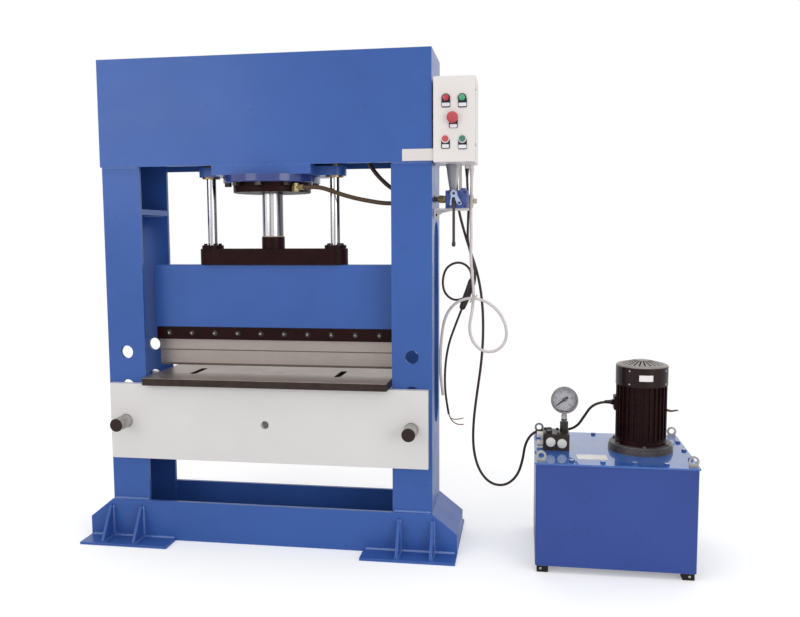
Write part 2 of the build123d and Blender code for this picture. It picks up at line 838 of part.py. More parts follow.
needle_angle = math.radians(218)
needle_plane = Plane(
    origin=(gauge_x, gauge_y - 3, gauge_z),
    x_dir=(math.cos(needle_angle), 0, math.sin(needle_angle)),
    z_dir=(0, -1, 0),
)
with BuildPart() as gauge_needle:
    with BuildSketch(needle_plane):
        Circle(6)
        with BuildLine():
            Polyline((-16, 3.5), (38, 0.8), (38, -0.8), (-16, -3.5), close=True)
        make_face()
        Circle(3 + running_fit, mode=Mode.SUBTRACT)
    extrude(amount=2)
gauge_needle.part.label = "gauge_needle"
export_step(gauge_needle.part, "parts/gauge_needle.step")

# Motor: mounting flanges, a finned housing and a terminal gland on its left
with BuildPart() as motor_flange:
    with BuildSketch(Plane.XY.offset(cover_top_z)):
        with Locations((motor_x, 0)):
            Circle(116)
    extrude(amount=14)
    with BuildSketch(Plane.XY.offset(cover_top_z + 14)):
        with Locations((motor_x, 0)):
            Circle(112)
    extrude(amount=14)
    chamfer(motor_flange.faces().sort_by(Axis.Z)[-1].edges(), 2)
    with BuildSketch(Plane.XY.offset(cover_top_z + 28)):
        with Locations((motor_x, 0)):
            with PolarLocations(101, 6, start_angle=30):
                RegularPolygon(7, 6)
    extrude(amount=6)
motor_flange.part.label = "motor_flange"
export_step(motor_flange.part, "parts/motor_flange.step")

housing_z = cover_top_z + 28
with BuildPart() as motor_housing:
    with BuildSketch(Plane.XY.offset(housing_z)):
        with Locations((motor_x, 0)):
            Circle(85)
    extrude(amount=225)
    with BuildSketch(Plane.XY.offset(housing_z + 20)):
        with Locations((motor_x, 0)):
            with PolarLocations(86, 28):
                Rectangle(10, 3.4)
    extrude(amount=195)
    with BuildSketch(Plane.XY.offset(housing_z)):
        with Locations((motor_x, 0)):
            Circle(motor_r)
    extrude(amount=16)
    with Locations((motor_x - 84, 0, 569)):
        Box(26, 46, 52)
    with BuildSketch(Plane.YZ.offset(motor_x - 97)):
        with Locations((0, 569)):
            RegularPolygon(11, 6)
    extrude(amount=-8)
    with BuildSketch(Plane.XY.offset(600)):
        with Locations((motor_x, 0)):
            Circle(8 + running_fit)
    extrude(amount=100, mode=Mode.SUBTRACT)
motor_housing.part.label = "motor_housing"
export_step(motor_housing.part, "parts/motor_housing.step")

# Fan on the motor shaft, under a pressed cover with a ring of radial slots
with BuildPart() as rotor:
    with BuildSketch(Plane.XY.offset(602)):
        with Locations((motor_x, 0)):
            Circle(8)
    extrude(amount=84)
    with BuildSketch(Plane.XY.offset(660)):
        with Locations((motor_x, 0)):
            Circle(20)
            with PolarLocations(46, 7):
                Rectangle(60, 3)
    extrude(amount=30)
    with BuildSketch(Plane.XY.offset(657)):
        with Locations((motor_x, 0)):
            Circle(76)
            Circle(8, mode=Mode.SUBTRACT)
    extrude(amount=3)
rotor.part.label = "rotor"
export_step(rotor.part, "parts/rotor.step")

with BuildPart() as fan_cover:
    with BuildSketch(Plane.XZ):
        with BuildLine():
            Polyline(
                (91, 640),
                (93, 640),
                (93, 706),
                (91, 712),
                (86, 715),
                (22, 730),
                (0, 732),
                (0, 729.6),
                (22, 727.6),
                (85.4, 712.8),
                (91, 706),
                close=True,
            )
        make_face()
    revolve(axis=Axis.Z)
    with BuildSketch(Plane.XY.offset(690)):
        with PolarLocations(52, 24):
            Rectangle(52, 4.5)
    extrude(amount=60, mode=Mode.SUBTRACT)
    cover_shape = fan_cover.part
with BuildPart() as fan_cover:
    with Locations((motor_x, 0, 0)):
        add(cover_shape)
fan_cover.part.label = "fan_cover"
export_step(fan_cover.part, "parts/fan_cover.step")


# Hoses and cables: straight runs joined by arcs that touch both of them
def bend_radii(points):
    radii = []
    for a, b, c in zip(points, points[1:], points[2:]):
        run_in = Vector(b) - Vector(a)
        run_out = Vector(c) - Vector(b)
        half = math.radians(run_in.get_angle(run_out)) / 2
        radii.append(0.45 * min(run_in.length, run_out.length) / math.tan(half))
    return radii


lower_hose_route = [
    (banjo_x + 30, banjo_y, 1367),
    (218, banjo_y, 1367),
    (331, -86, 1327),
    (470, -62, 1302),
    (585, -50, 1320),
    (648, -50, 1320),
]
upper_hose_route = [
    (152, 0, 1735),
    (225, 0, 1735),
    (318, -8, 1665),
    (350, -13, 1540),
    (394, -17, 1434),
    (478, -20, 1352),
    (590, -18, 1320),
    (648, -18, 1320),
]
motor_cable_route = [
    (712, 4, 1434),
    (712, 4, 1376),
    (714, 20, 1306),
    (730, 36, 1230),
    (757, 44, 1140),
    (791, 48, 1040),
    (809, 44, 930),
    (813, 38, 812),
    (806, 37, 700),
    (790, 37, 585),
    (776, 37, 470),
    (775, 36, 365),
    (797, 34, 280),
    (842, 32, 228),
    (900, 31, 222),
    (946, 32, 262),
    (966, 34, 326),
    (974, 36, 390),
    (1003, 39, 436),
    (1055, 41, 447),
    (1112, 40, 444),
    (1165, 34, 460),
    (1192, 22, 505),
    (1216, 6, 550),
    (1256, 0, 569),
    (1291, 0, 569),
]
supply_cable_route = [
    (751, 5, 1434),
    (751, 5, 1382),
    (757, 16, 1304),
    (753, 26, 1225),
    (752, 28, 1160),
    (768, 29, 1105),
    (782, 31, 1050),
    (779, 33, 995),
    (750, 36, 951),
    (700, 40, 936),
    (661, 44, 967),
    (654, 48, 1021),
    (672, 52, 1070),
    (720, 55, 1088),
    (762, 56, 1062),
    (768, 57, 1008),
    (748, 57, 955),
    (726, 56, 898),
    (702, 54, 836),
    (680, 50, 774),
    (668, 46, 706),
    (664, 44, 634),
    (668, 44, 560),
    (680, 44, 495),
]
white_hose_route = [
    (768.5, 5, 1434),
    (768.5, 5, 1390),
    (767, 8, 1330),
    (765, 11, 1262),
    (767, 12, 1186),
    (765, 12, 1110),
    (771, 11, 1040),
    (778, 10, 970),
    (772, 7, 900),
    (760, 3, 840),
    (772, 0, 787),
    (810, -3, 749),
    (862, -5, 749),
    (900, -7, 787),
    (902, -8, 841),
    (881, -8, 891),
    (846, -8, 928),
    (800, -8, 950),
    (750, -6, 952),
    (706, 2, 931),
    (675, 14, 892),
    (659, 26, 842),
    (651, 34, 775),
    (648, 36, 703),
    (650, 37, 632),
    (658, 37, 570),
]
for name, route, radius in (
    ("lower_hose", lower_hose_route, 8),
    ("upper_hose", upper_hose_route, 8),
    ("motor_cable", motor_cable_route, 5),
    ("supply_cable", supply_cable_route, 4.5),
    ("white_hose", white_hose_route, 5.5),
):
    with BuildPart() as cord:
        with BuildLine():
            path = FilletPolyline(*route, radius=bend_radii(route))
        with BuildSketch(Plane(origin=route[0], z_dir=Vector(route[1]) - Vector(route[0]))):
            Circle(radius)
        sweep(path=path)
    cord.part.label = name
    export_step(cord.part, f"parts/{name}.step")
    print(name, "length", round(path.length), "tightest", round(min(bend_radii(route))))
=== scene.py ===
import math
import random

import bmesh
import bpy
from mathutils import Matrix, Vector


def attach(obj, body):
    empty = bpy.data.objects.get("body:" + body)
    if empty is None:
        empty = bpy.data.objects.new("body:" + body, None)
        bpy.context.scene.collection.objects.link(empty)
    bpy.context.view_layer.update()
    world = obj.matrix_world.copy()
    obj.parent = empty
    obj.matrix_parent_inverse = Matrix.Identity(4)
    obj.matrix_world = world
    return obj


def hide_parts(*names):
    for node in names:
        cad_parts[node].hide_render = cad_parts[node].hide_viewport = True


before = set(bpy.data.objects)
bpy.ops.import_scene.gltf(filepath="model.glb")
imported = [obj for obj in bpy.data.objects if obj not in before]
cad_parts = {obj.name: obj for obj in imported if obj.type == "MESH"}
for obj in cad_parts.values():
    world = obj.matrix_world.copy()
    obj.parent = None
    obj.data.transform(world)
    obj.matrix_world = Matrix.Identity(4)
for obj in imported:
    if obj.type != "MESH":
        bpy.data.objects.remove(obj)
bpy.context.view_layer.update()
random.seed(7)
scene = bpy.context.scene
MM = 0.001
RIGHT, FORWARD, UP = (1, 0, 0), (0, -1, 0), (0, 0, 1)

# Camera, solved from the edges of the press in the photograph
CAMERA_AT = (0.9634, -2.9998, 1.191)
CAMERA_YAW = 0.1543
CAMERA_PITCH = -0.0925
CAMERA_ROLL = -0.0047
FOCAL_PX = 797.4
FRAME_PX = 800
SENSOR = 36


def add_camera():
    """The camera at the photograph's place and angle."""
    yaw, pitch, roll = -CAMERA_YAW, CAMERA_PITCH, CAMERA_ROLL
    ahead = Vector((math.sin(yaw) * math.cos(pitch), math.cos(yaw) * math.cos(pitch), math.sin(pitch)))
    right = Vector((math.cos(yaw), -math.sin(yaw), 0))
    up = right.cross(ahead)
    right2 = math.cos(roll) * right + math.sin(roll) * up
    up2 = -math.sin(roll) * right + math.cos(roll) * up
    turn = Matrix((right2, up2, -ahead)).transposed().to_4x4()
    data = bpy.data.cameras.new("camera")
    data.sensor_width = SENSOR
    data.lens = FOCAL_PX * SENSOR / FRAME_PX
    data.clip_end = 100
    camera = bpy.data.objects.new("camera", data)
    scene.collection.objects.link(camera)
    camera.matrix_world = Matrix.Translation(CAMERA_AT) @ turn
    scene.camera = camera


add_camera()


# Material helpers
def new_material(name):
    """A material, its tree of nodes and its shader."""
    m = bpy.data.materials.new(name)
    m.use_nodes = True
    return m, m.node_tree, m.node_tree.nodes["Principled BSDF"]


def node(tree, kind, **settings):
    """A new node with some of its settings."""
    n = tree.nodes.new(kind)
    for key, value in settings.items():
        setattr(n, key, value)
    return n


def noise(tree, scale, detail=3.0, rough=0.5, stretch=(1, 1, 1)):
    """Noise between 0 and 1 in the piece's own space."""
    coords = node(tree, "ShaderNodeTexCoord")
    mapping = node(tree, "ShaderNodeMapping")
    mapping.inputs["Scale"].default_value = stretch
    texture = node(tree, "ShaderNodeTexNoise")
    texture.inputs["Scale"].default_value = scale
    texture.inputs["Detail"].default_value = detail
    texture.inputs["Roughness"].default_value = rough
    tree.links.new(coords.outputs["Object"], mapping.inputs["Vector"])
    tree.links.new(mapping.outputs["Vector"], texture.inputs["Vector"])
    return texture.outputs["Fac"]


def ramp(tree, fac, stops):
    """Colours from pairs of a place between 0 and 1 and a colour."""
    r = node(tree, "ShaderNodeValToRGB")
    while len(r.color_ramp.elements) > 1:
        r.color_ramp.elements.remove(r.color_ramp.elements[-1])
    for n, (at, color) in enumerate(stops):
        e = r.color_ramp.elements[0] if n == 0 else r.color_ramp.elements.new(at)
        e.position = at
        e.color = (*color, 1)
    tree.links.new(fac, r.inputs["Fac"])
    return r.outputs["Color"]


def greys(tree, source, value, low, high, start=0.3, end=0.7):
    """Greys from low to high times a value, spread over a noise."""
    return ramp(tree, source, [(start, (value * low,) * 3), (end, (value * high,) * 3)])


def shades(tree, source, color, low, high, start=0.3, end=0.7):
    """Shades of a colour from low to high times it, spread over a noise."""
    return ramp(tree, source, [(start, scaled(color, low)), (end, scaled(color, high))])


def scaled(color, k):
    """A colour times k, up to full brightness."""
    return tuple(min(1.0, c * k) for c in color)


def toward(color, other, k):
    """A colour moved by the share k to another."""
    return tuple(a + (b - a) * k for a, b in zip(color, other))


def bump(tree, bsdf, height, strength, distance):
    """Fine relief of a material from a height between 0 and 1, with its depth in metres."""
    b = node(tree, "ShaderNodeBump")
    b.inputs["Strength"].default_value = strength
    b.inputs["Distance"].default_value = distance
    tree.links.new(height, b.inputs["Height"])
    tree.links.new(b.outputs["Normal"], bsdf.inputs["Normal"])


def from_to(tree, value, low, high):
    """0 where a value is low, 1 where it is high, and even between them."""
    spread = node(tree, "ShaderNodeMapRange")
    spread.inputs["From Min"].default_value = low
    spread.inputs["From Max"].default_value = high
    tree.links.new(value, spread.inputs["Value"])
    return spread.outputs["Result"]


def edge_mask(tree, width):
    """1 near sharp edges and 0 on flat faces, from the angle between the true and the rounded normal."""
    rounded = node(tree, "ShaderNodeBevel", samples=4)
    rounded.inputs["Radius"].default_value = width
    geometry = node(tree, "ShaderNodeNewGeometry")
    dot = node(tree, "ShaderNodeVectorMath", operation="DOT_PRODUCT")
    tree.links.new(rounded.outputs["Normal"], dot.inputs[0])
    tree.links.new(geometry.outputs["Normal"], dot.inputs[1])
    return from_to(tree, dot.outputs["Value"], 0.98, 0.80)


def mixed(tree, fac, a, b):
    """Colour a where the mask is 0 and colour b where it is 1. Either may be fixed or a socket."""
    m = node(tree, "ShaderNodeMix", data_type="RGBA")
    tree.links.new(fac, m.inputs["Factor"])
    for value, socket in ((a, m.inputs[6]), (b, m.inputs[7])):
        if isinstance(value, tuple):
            socket.default_value = (*value, 1)
        else:
            tree.links.new(value, socket)
    return m.outputs[2]


def times(tree, a, b):
    """The product of two values. Either may be fixed or a socket."""
    m = node(tree, "ShaderNodeMath", operation="MULTIPLY")
    for value, socket in ((a, m.inputs[0]), (b, m.inputs[1])):
        if isinstance(value, (int, float)):
            socket.default_value = value
        else:
            tree.links.new(value, socket)
    return m.outputs[0]


def largest(tree, a, b):
    """The larger of two values."""
    m = node(tree, "ShaderNodeMath", operation="MAXIMUM")
    tree.links.new(a, m.inputs[0])
    tree.links.new(b, m.inputs[1])
    return m.outputs[0]


def facing(tree, axis, low=0.4, high=0.6):
    """1 on the faces that look along an axis of the frame and 0 on the others."""
    geometry = node(tree, "ShaderNodeNewGeometry")
    dot = node(tree, "ShaderNodeVectorMath", operation="DOT_PRODUCT")
    dot.inputs[1].default_value = axis
    tree.links.new(geometry.outputs["Normal"], dot.inputs[0])
    return from_to(tree, dot.outputs["Value"], low, high)


def below(tree, height):
    """1 under a height in metres and 0 above it."""
    geometry = node(tree, "ShaderNodeNewGeometry")
    split = node(tree, "ShaderNodeSeparateXYZ")
    tree.links.new(geometry.outputs["Position"], split.inputs["Vector"])
    under = node(tree, "ShaderNodeMath", operation="LESS_THAN")
    under.inputs[1].default_value = height
    tree.links.new(split.outputs["Z"], under.inputs[0])
    return under.outputs[0]


def paint(
    name,
    color,
    rough=0.32,
    coat=0.1,
    wear_and_sheen=0.5,
    chip_and_sheen=None,
    grime=0.12,
    peel=0.05,
    spec=0.25,
    coat_rough=0.1,
    feet=None,
):
    """Sprayed enamel: soft mottling, orange peel, and paler paint along the edges: flaked paint, and on
    the valve and the lever casting a painted highlight.
    """
    m, tree, bsdf = new_material(name)
    cloud = shades(tree, noise(tree, 2.3, 4, 0.6), color, 1 - grime, 1 + grime * 0.4)
    worn_and_sheen = chip_and_sheen or toward(color, (0.75, 0.78, 0.82), 0.35)
    edges = edge_mask(tree, 0.0035)
    # Paler edges: flaked paint, and a painted highlight where the edge colour is pale blue.
    scuff_and_sheen = times(tree, edges, greys(tree, noise(tree, 60, 5, 0.7), wear_and_sheen, 0, 1, 0.42, 0.62))
    skin = mixed(tree, scuff_and_sheen, cloud, worn_and_sheen)
    if feet:
        skin = mixed(tree, below(tree, feet), skin, (0.012, 0.006, 0.006))
    tree.links.new(skin, bsdf.inputs["Base Color"])
    gloss = greys(tree, noise(tree, 9, 4, 0.6), rough, 0.85, 1.2)
    tree.links.new(gloss, bsdf.inputs["Roughness"])
    bsdf.inputs["Specular IOR Level"].default_value = spec
    bsdf.inputs["Coat Weight"].default_value = coat
    bsdf.inputs["Coat Roughness"].default_value = coat_rough
    bump(tree, bsdf, noise(tree, 260, 2), peel, 0.0006)
    return m


def metal(
    name,
    color,
    rough=0.3,
    grain=(1, 1, 1),
    grain_scale=220,
    grain_bump=0.12,
    stain=0.12,
    metallic=1.0,
):
    """Bare metal with a grain along one axis and faint stains."""
    m, tree, bsdf = new_material(name)
    bsdf.inputs["Metallic"].default_value = metallic
    cloud = shades(tree, noise(tree, 7, 5, 0.6), color, 1 - stain, 1, 0.32, 0.68)
    tree.links.new(cloud, bsdf.inputs["Base Color"])
    lines = noise(tree, grain_scale, 3, 0.6, grain)
    tree.links.new(greys(tree, lines, rough, 0.75, 1.3), bsdf.inputs["Roughness"])
    bump(tree, bsdf, lines, grain_bump, 0.0003)
    return m


def sided(name, face, side, axis, rough=0.36, grain=(0.06, 1, 1), both=False, metallic=0.7):
    """Painted light: one colour on the faces that look along an axis, or both ways along it, and another
    on the rest, as lit and shaded copies of one surface.
    """
    m, tree, bsdf = new_material(name)
    mask = facing(tree, axis)
    if both:
        mask = largest(tree, mask, facing(tree, tuple(-c for c in axis)))
    # Both tones are painted light: a painted highlight on the up-facing tops of the cover bolts, fan cover
    # and die, with painted shade on their other faces; on the pins, painted shade on the ends and a
    # painted highlight on the round sides.
    bright = shades(tree, noise(tree, 6, 5, 0.65), face, 0.8, 1.1)
    scale = shades(tree, noise(tree, 22, 5, 0.7), side, 0.6, 1.5)
    tree.links.new(mixed(tree, mask, scale, bright), bsdf.inputs["Base Color"])
    tree.links.new(times(tree, mask, metallic), bsdf.inputs["Metallic"])
    lines = noise(tree, 240, 3, 0.6, grain)
    tree.links.new(greys(tree, lines, rough, 0.8, 1.25), bsdf.inputs["Roughness"])
    bsdf.inputs["Specular IOR Level"].default_value = 0.25
    bump(tree, bsdf, lines, 0.12, 0.0003)
    return m


# Painted reflection: greys round a rod, from its left side to its right side, as a workshop looks in hard
# chrome
CHROME_REFLECTION_BANDS = (
    (0.0, 0.18),
    (0.07, 0.36),
    (0.15, 0.74),
    (0.26, 0.70),
    (0.33, 0.46),
    (0.37, 0.20),
    (0.42, 0.56),
    (0.56, 0.62),
    (0.63, 0.36),
    (0.76, 0.44),
    (0.84, 0.15),
    (0.94, 0.09),
    (1.0, 0.26),
)
# Level direction across the photograph, in the frame
ACROSS = (0.952, 0.306, 0)


def chrome(name):
    """Hard chrome with a painted reflection: bands of grey round the rod, set by which way its faces look
    across the frame.
    """
    m, tree, bsdf = new_material(name)
    bsdf.inputs["Metallic"].default_value = 1.0
    stops = [(at, (grey, grey * 0.97, grey)) for at, grey in CHROME_REFLECTION_BANDS]
    tree.links.new(ramp(tree, facing(tree, ACROSS, -1, 1), stops), bsdf.inputs["Base Color"])
    lines = noise(tree, 300, 3, 0.6, (1, 1, 0.04))
    tree.links.new(greys(tree, lines, 1, 0.10, 0.17), bsdf.inputs["Roughness"])
    bump(tree, bsdf, lines, 0.03, 0.0003)
    return m


# Base colour of the blackened parts
BLACK = (0.0150, 0.0030, 0.0034)


def oxide(name, color=BLACK, rough=0.40, wear_and_sheen=0.5, spec=0.09, rub_and_glint_color=(0.22, 0.20, 0.19)):
    """Blackened steel or black enamel, paler along its corners from abrasion and from a painted glint
    there.
    """
    m, tree, bsdf = new_material(name)
    cloud = shades(tree, noise(tree, 16, 5, 0.65), color, 0.7, 1.5)
    edges = edge_mask(tree, 0.0025)
    # Paler corners: abraded steel and a painted glint.
    rub_and_glint = times(tree, edges, greys(tree, noise(tree, 90, 4), wear_and_sheen, 0, 1, 0.45, 0.68))
    tree.links.new(mixed(tree, rub_and_glint, cloud, rub_and_glint_color), bsdf.inputs["Base Color"])
    tree.links.new(greys(tree, noise(tree, 40, 4), rough, 0.8, 1.25), bsdf.inputs["Roughness"])
    bsdf.inputs["Specular IOR Level"].default_value = spec
    bump(tree, bsdf, noise(tree, 320, 3), 0.10, 0.0005)
    return m


def plastic(name, color, rough=0.4, texture=0.06, coat=0.0, spread=0.10, spec=0.3, lit=None):
    """Moulded plastic or rubber. Where a highlight colour is given, the side towards +X takes it as a
    painted highlight.
    """
    m, tree, bsdf = new_material(name)
    cloud = shades(tree, noise(tree, 14, 3), color, 1 - spread, 1 + spread * 0.5)
    if lit:
        cloud = mixed(tree, facing(tree, ACROSS, 0.2, 0.5), cloud, lit)
    tree.links.new(cloud, bsdf.inputs["Base Color"])
    tree.links.new(greys(tree, noise(tree, 50, 3), rough, 0.85, 1.15), bsdf.inputs["Roughness"])
    bsdf.inputs["Coat Weight"].default_value = coat
    bsdf.inputs["Specular IOR Level"].default_value = spec
    bump(tree, bsdf, noise(tree, 500, 2), texture, 0.0004)
    return m


def glass(name):
    """Thin clear glass that bends light only a little."""
    m, tree, bsdf = new_material(name)
    bsdf.inputs["Base Color"].default_value = (0.97, 0.98, 0.98, 1)
    bsdf.inputs["Transmission Weight"].default_value = 1.0
    bsdf.inputs["IOR"].default_value = 1.12
    tree.links.new(greys(tree, noise(tree, 20, 2), 1, 0.02, 0.05), bsdf.inputs["Roughness"])
    return m


# Looks, with linear colours
BLUE = (0.040, 0.111, 0.384)
TANK = (0.034, 0.072, 0.300)
# Height in metres up to which the tank's paint is dark, for its feet
FOOT_TOP = 0.0245
# Stretch of a grain that runs no way in particular
EVEN = (1, 1, 1)
MATERIALS = {
    # Painted steel
    "blue": paint("blue_enamel", BLUE, 0.32, 0.12),
    "flange_blue": paint("cylinder_enamel", (0.028, 0.048, 0.21), 0.24, 0.6, peel=0.12),
    "tank_blue": paint("tank_enamel", TANK, 0.30, 0.12, feet=FOOT_TOP),
    "lid_blue": paint(
        "tank_cover_enamel",
        (0.034, 0.125, 0.44),
        rough=0.30,
        coat=1.0,
        wear_and_sheen=0.3,
        grime=0.06,
        peel=0.01,
        spec=0.2,
        coat_rough=0.025,
    ),
    "white": paint("white_enamel", (0.72, 0.70, 0.69), 0.42, 0.1, 0.35, (0.35, 0.33, 0.31), 0.04),
    "box": paint("box_enamel", (0.785, 0.74, 0.72), 0.42, 0.1, 0.25, (0.50, 0.46, 0.43), 0.03, 0.12),
    # On the valve bracket this pale colour is a painted highlight on blue paint; on the box strap it is
    # the strap's own pale paint.
    "shelf": paint("shelf_enamel", (0.72, 0.68, 0.67), 0.40, 0.1, 0.3, (0.38, 0.37, 0.36), 0.06),
    # Painted highlight: the pale blue colour along the valve's edges stands for highlights on its blue
    # paint.
    "valve": paint("valve_enamel", (0.050, 0.095, 0.36), 0.30, 0.5, 0.9, (0.40, 0.48, 0.68), 0.25, 0.3),
    # Painted reflection: the lever casting's pale grey-blue stands for reflections on blue paint; its
    # paler edges are a painted highlight.
    "casting": paint("lever_casting", (0.42, 0.52, 0.74), 0.30, 0.4, 0.6, (0.75, 0.78, 0.85), 0.2, 0.2),
    # Painted highlight: the weld paint is lighter than the frame's blue to stand for glints on the beads.
    "bead": paint(
        "weld_paint",
        (0.075, 0.165, 0.46),
        rough=0.22,
        coat=0.9,
        wear_and_sheen=0.2,
        grime=0.15,
        peel=0.5,
        spec=0.4,
        coat_rough=0.06,
    ),
    # Painted glint: the cover bolts' up-facing tops are pale over their blue paint.
    "bolt_blue": sided(
        "cover_bolt_paint",
        face=(0.48, 0.53, 0.66),
        side=(0.05, 0.10, 0.34),
        axis=UP,
        rough=0.22,
        grain=EVEN,
        metallic=0.2,
    ),
    # Black steel and enamel
    "oxide": oxide("black_oxide"),
    "oxide_soft": oxide("clamp_oxide", BLACK, 0.34, 0.4),
    "block": oxide("block_oxide", (0.022, 0.016, 0.013), 0.30, 0.6, 0.35),
    "bolt": oxide("bolt_oxide", (0.024, 0.014, 0.013), 0.28, 0.9, 0.4, (0.42, 0.40, 0.39)),
    "case": oxide("gauge_enamel", (0.20, 0.18, 0.20), 0.28, 0.5, 0.4, (0.5, 0.5, 0.5)),
    "stem": oxide("stem_steel", (0.045, 0.040, 0.036), 0.26, 0.9, 0.5, (0.5, 0.5, 0.5)),
    "motor": oxide("motor_enamel", (0.0135, 0.0025, 0.0030), 0.30, 0.15, 0.10),
    # Painted glint: the motor flange's pale corners also stand for its glints.
    "flange": oxide("flange_enamel", (0.060, 0.050, 0.052), 0.34, 0.7, 0.35, (0.45, 0.43, 0.42)),
    # Painted highlight: the fan cover's up-facing faces are pale over its black enamel.
    "cover": sided(
        "cover_enamel",
        face=(0.26, 0.235, 0.22),
        side=(0.0140, 0.0035, 0.0040),
        axis=UP,
        rough=0.24,
        grain=EVEN,
        metallic=0.2,
    ),
    # Bare metal
    "punch": metal("ground_steel", (0.405, 0.35, 0.325), 0.36, (0.04, 1, 1), 420, 0.035, 0.07, 0.6),
    # Painted light: the die plate's up-facing top is a painted highlight and its other faces painted
    # shade.
    "die": sided("die_steel", face=(0.29, 0.235, 0.205), side=(0.030, 0.017, 0.013), axis=UP),
    # Painted light: the pins' ends are painted shade and their round sides a painted highlight.
    "turned": sided(
        "pin_steel",
        face=(0.030, 0.016, 0.014),
        side=(0.34, 0.32, 0.31),
        axis=FORWARD,
        rough=0.34,
        grain=(1, 0.05, 1),
        both=True,
        metallic=0.1,
    ),
    "chrome": chrome("chrome_rods"),
    "plated": metal("plated_steel", (0.50, 0.49, 0.48), 0.28, EVEN, 120, 0.08, 0.2, 0.95),
    "bronze": metal("bush_bronze", (0.42, 0.28, 0.13), 0.33, (1, 1, 0.1), 240, 0.08, 0.25),
    "brass": metal("fitting_brass", (0.30, 0.235, 0.115), 0.34, EVEN, 140, 0.08, 0.3, 0.8),
    # Rubber, plastic and glass
    "rubber": plastic("hose_rubber", (0.078, 0.044, 0.024), 0.42, 0.25),
    "rubber_dark": plastic("upper_hose_rubber", (0.040, 0.020, 0.014), 0.42, 0.25),
    "cable": plastic("cable_jacket", (0.038, 0.020, 0.015), 0.38, 0.10),
    "sleeve": plastic("cable_sleeve", (0.030, 0.015, 0.012), 0.30, 0.2, 0.3),
    "tube": plastic("white_tube", (0.66, 0.60, 0.60), 0.35, 0.10, 0.1, 0.06),
    "cream": plastic("cream_plastic", (0.62, 0.55, 0.46), 0.42, 0.1),
    # Painted highlight: the boot is paler on its side towards +X.
    "boot": plastic("boot_rubber", (0.30, 0.29, 0.315), 0.50, 0.2, lit=(0.52, 0.50, 0.51)),
    "dark": plastic("dark_plastic", (0.020, 0.014, 0.014), 0.38, 0.15),
    "holder": plastic("legend_holder", (0.022, 0.018, 0.040), 0.32, 0.1),
    "lever": plastic("lever_coat", (0.045, 0.026, 0.022), 0.33, 0.1, 0.2),
    "red": plastic("red_button", (0.55, 0.085, 0.092), 0.30, 0.03, 0.1),
    "mushroom": plastic("mushroom_button", (0.50, 0.075, 0.085), 0.34, 0.03, 0.05),
    "green": plastic("green_button", (0.055, 0.205, 0.150), 0.30, 0.03, 0.1),
    "red_lens": plastic("red_lens", (0.48, 0.020, 0.045), 0.14, 0.03, 0.8),
    "green_lens": plastic("green_lens", (0.045, 0.36, 0.17), 0.14, 0.03, 0.8),
    "device": plastic("switchgear", (0.16, 0.16, 0.165), 0.45, 0.1),
    "legend": plastic("legend_plate", (0.80, 0.79, 0.83), 0.36, 0.03),
    "label": plastic("bare_label", (0.86, 0.82, 0.80), 0.45, 0.03),
    "dial": plastic("dial_face", (0.60, 0.575, 0.61), 0.55, 0.02, 0.0, 0.02),
    "mark": plastic("dial_marks", (0.02, 0.02, 0.02), 0.6, 0.02),
    "caps": plastic("white_caps", (0.76, 0.73, 0.66), 0.35, 0.05),
    "wire": plastic("brown_wire", (0.16, 0.095, 0.06), 0.45, 0.08),
    "copper": plastic("wire_red_brown", (0.28, 0.10, 0.065), 0.4, 0.05),
    "pale_wire": plastic("wire_pale", (0.30, 0.215, 0.155), 0.45, 0.05),
    "beige": plastic("wiper_ring", (0.42, 0.32, 0.24), 0.45, 0.08),
    "glass": glass("gauge_glass"),
}

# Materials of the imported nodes
LOOKS = {
    "blue": "base_pan base_plates feet left_upright right_upright crown_plates crown_top_plate "
    "cylinder_mount_plate ram_beam",
    "flange_blue": "cylinder_body",
    "tank_blue": "tank_shell",
    "bolt_blue": "cover_bolts",
    "lid_blue": "tank_cover",
    "white": "bed_plates bed_spacers",
    "box": "control_box_shell door",
    "shelf": "box_strap valve_bracket",
    "valve": "valve_body",
    "oxide": "crosshead gland_ring rod_collar rod_flanges",
    "oxide_soft": "clamp_bar",
    "block": "manifold_block",
    "bolt": "flange_bolts clamp_bolts",
    "punch": "punch",
    "die": "die_plate",
    "chrome": "ram_rod guide_rods",
    "case": "gauge_case",
    "turned": "left_pin right_pin",
    "plated": "lifting_eyes valve_spool",
    "bronze": "guide_bushes",
    "brass": "hose_fittings",
    "rubber": "lower_hose",
    "rubber_dark": "upper_hose",
    "cable": "motor_cable supply_cable",
    "tube": "white_hose",
    "boot": "valve_boot",
    "lever": "hand_lever",
    "red_lens": "red_lamp",
    "green_lens": "green_lamp",
    "red": "stop_button",
    "mushroom": "estop_button",
    "green": "start_button",
    "device": "box_contents",
    "glass": "gauge_glass",
    "mark": "gauge_needle",
    "flange": "motor_flange",
    "motor": "motor_housing",
    "cover": "fan_cover",
    "dark": "rotor",
    "caps": "port_caps",
}
for look, names in LOOKS.items():
    for name in names.split():
        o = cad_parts[name]
        o.data.materials.clear()
        o.data.materials.append(MATERIALS[look])


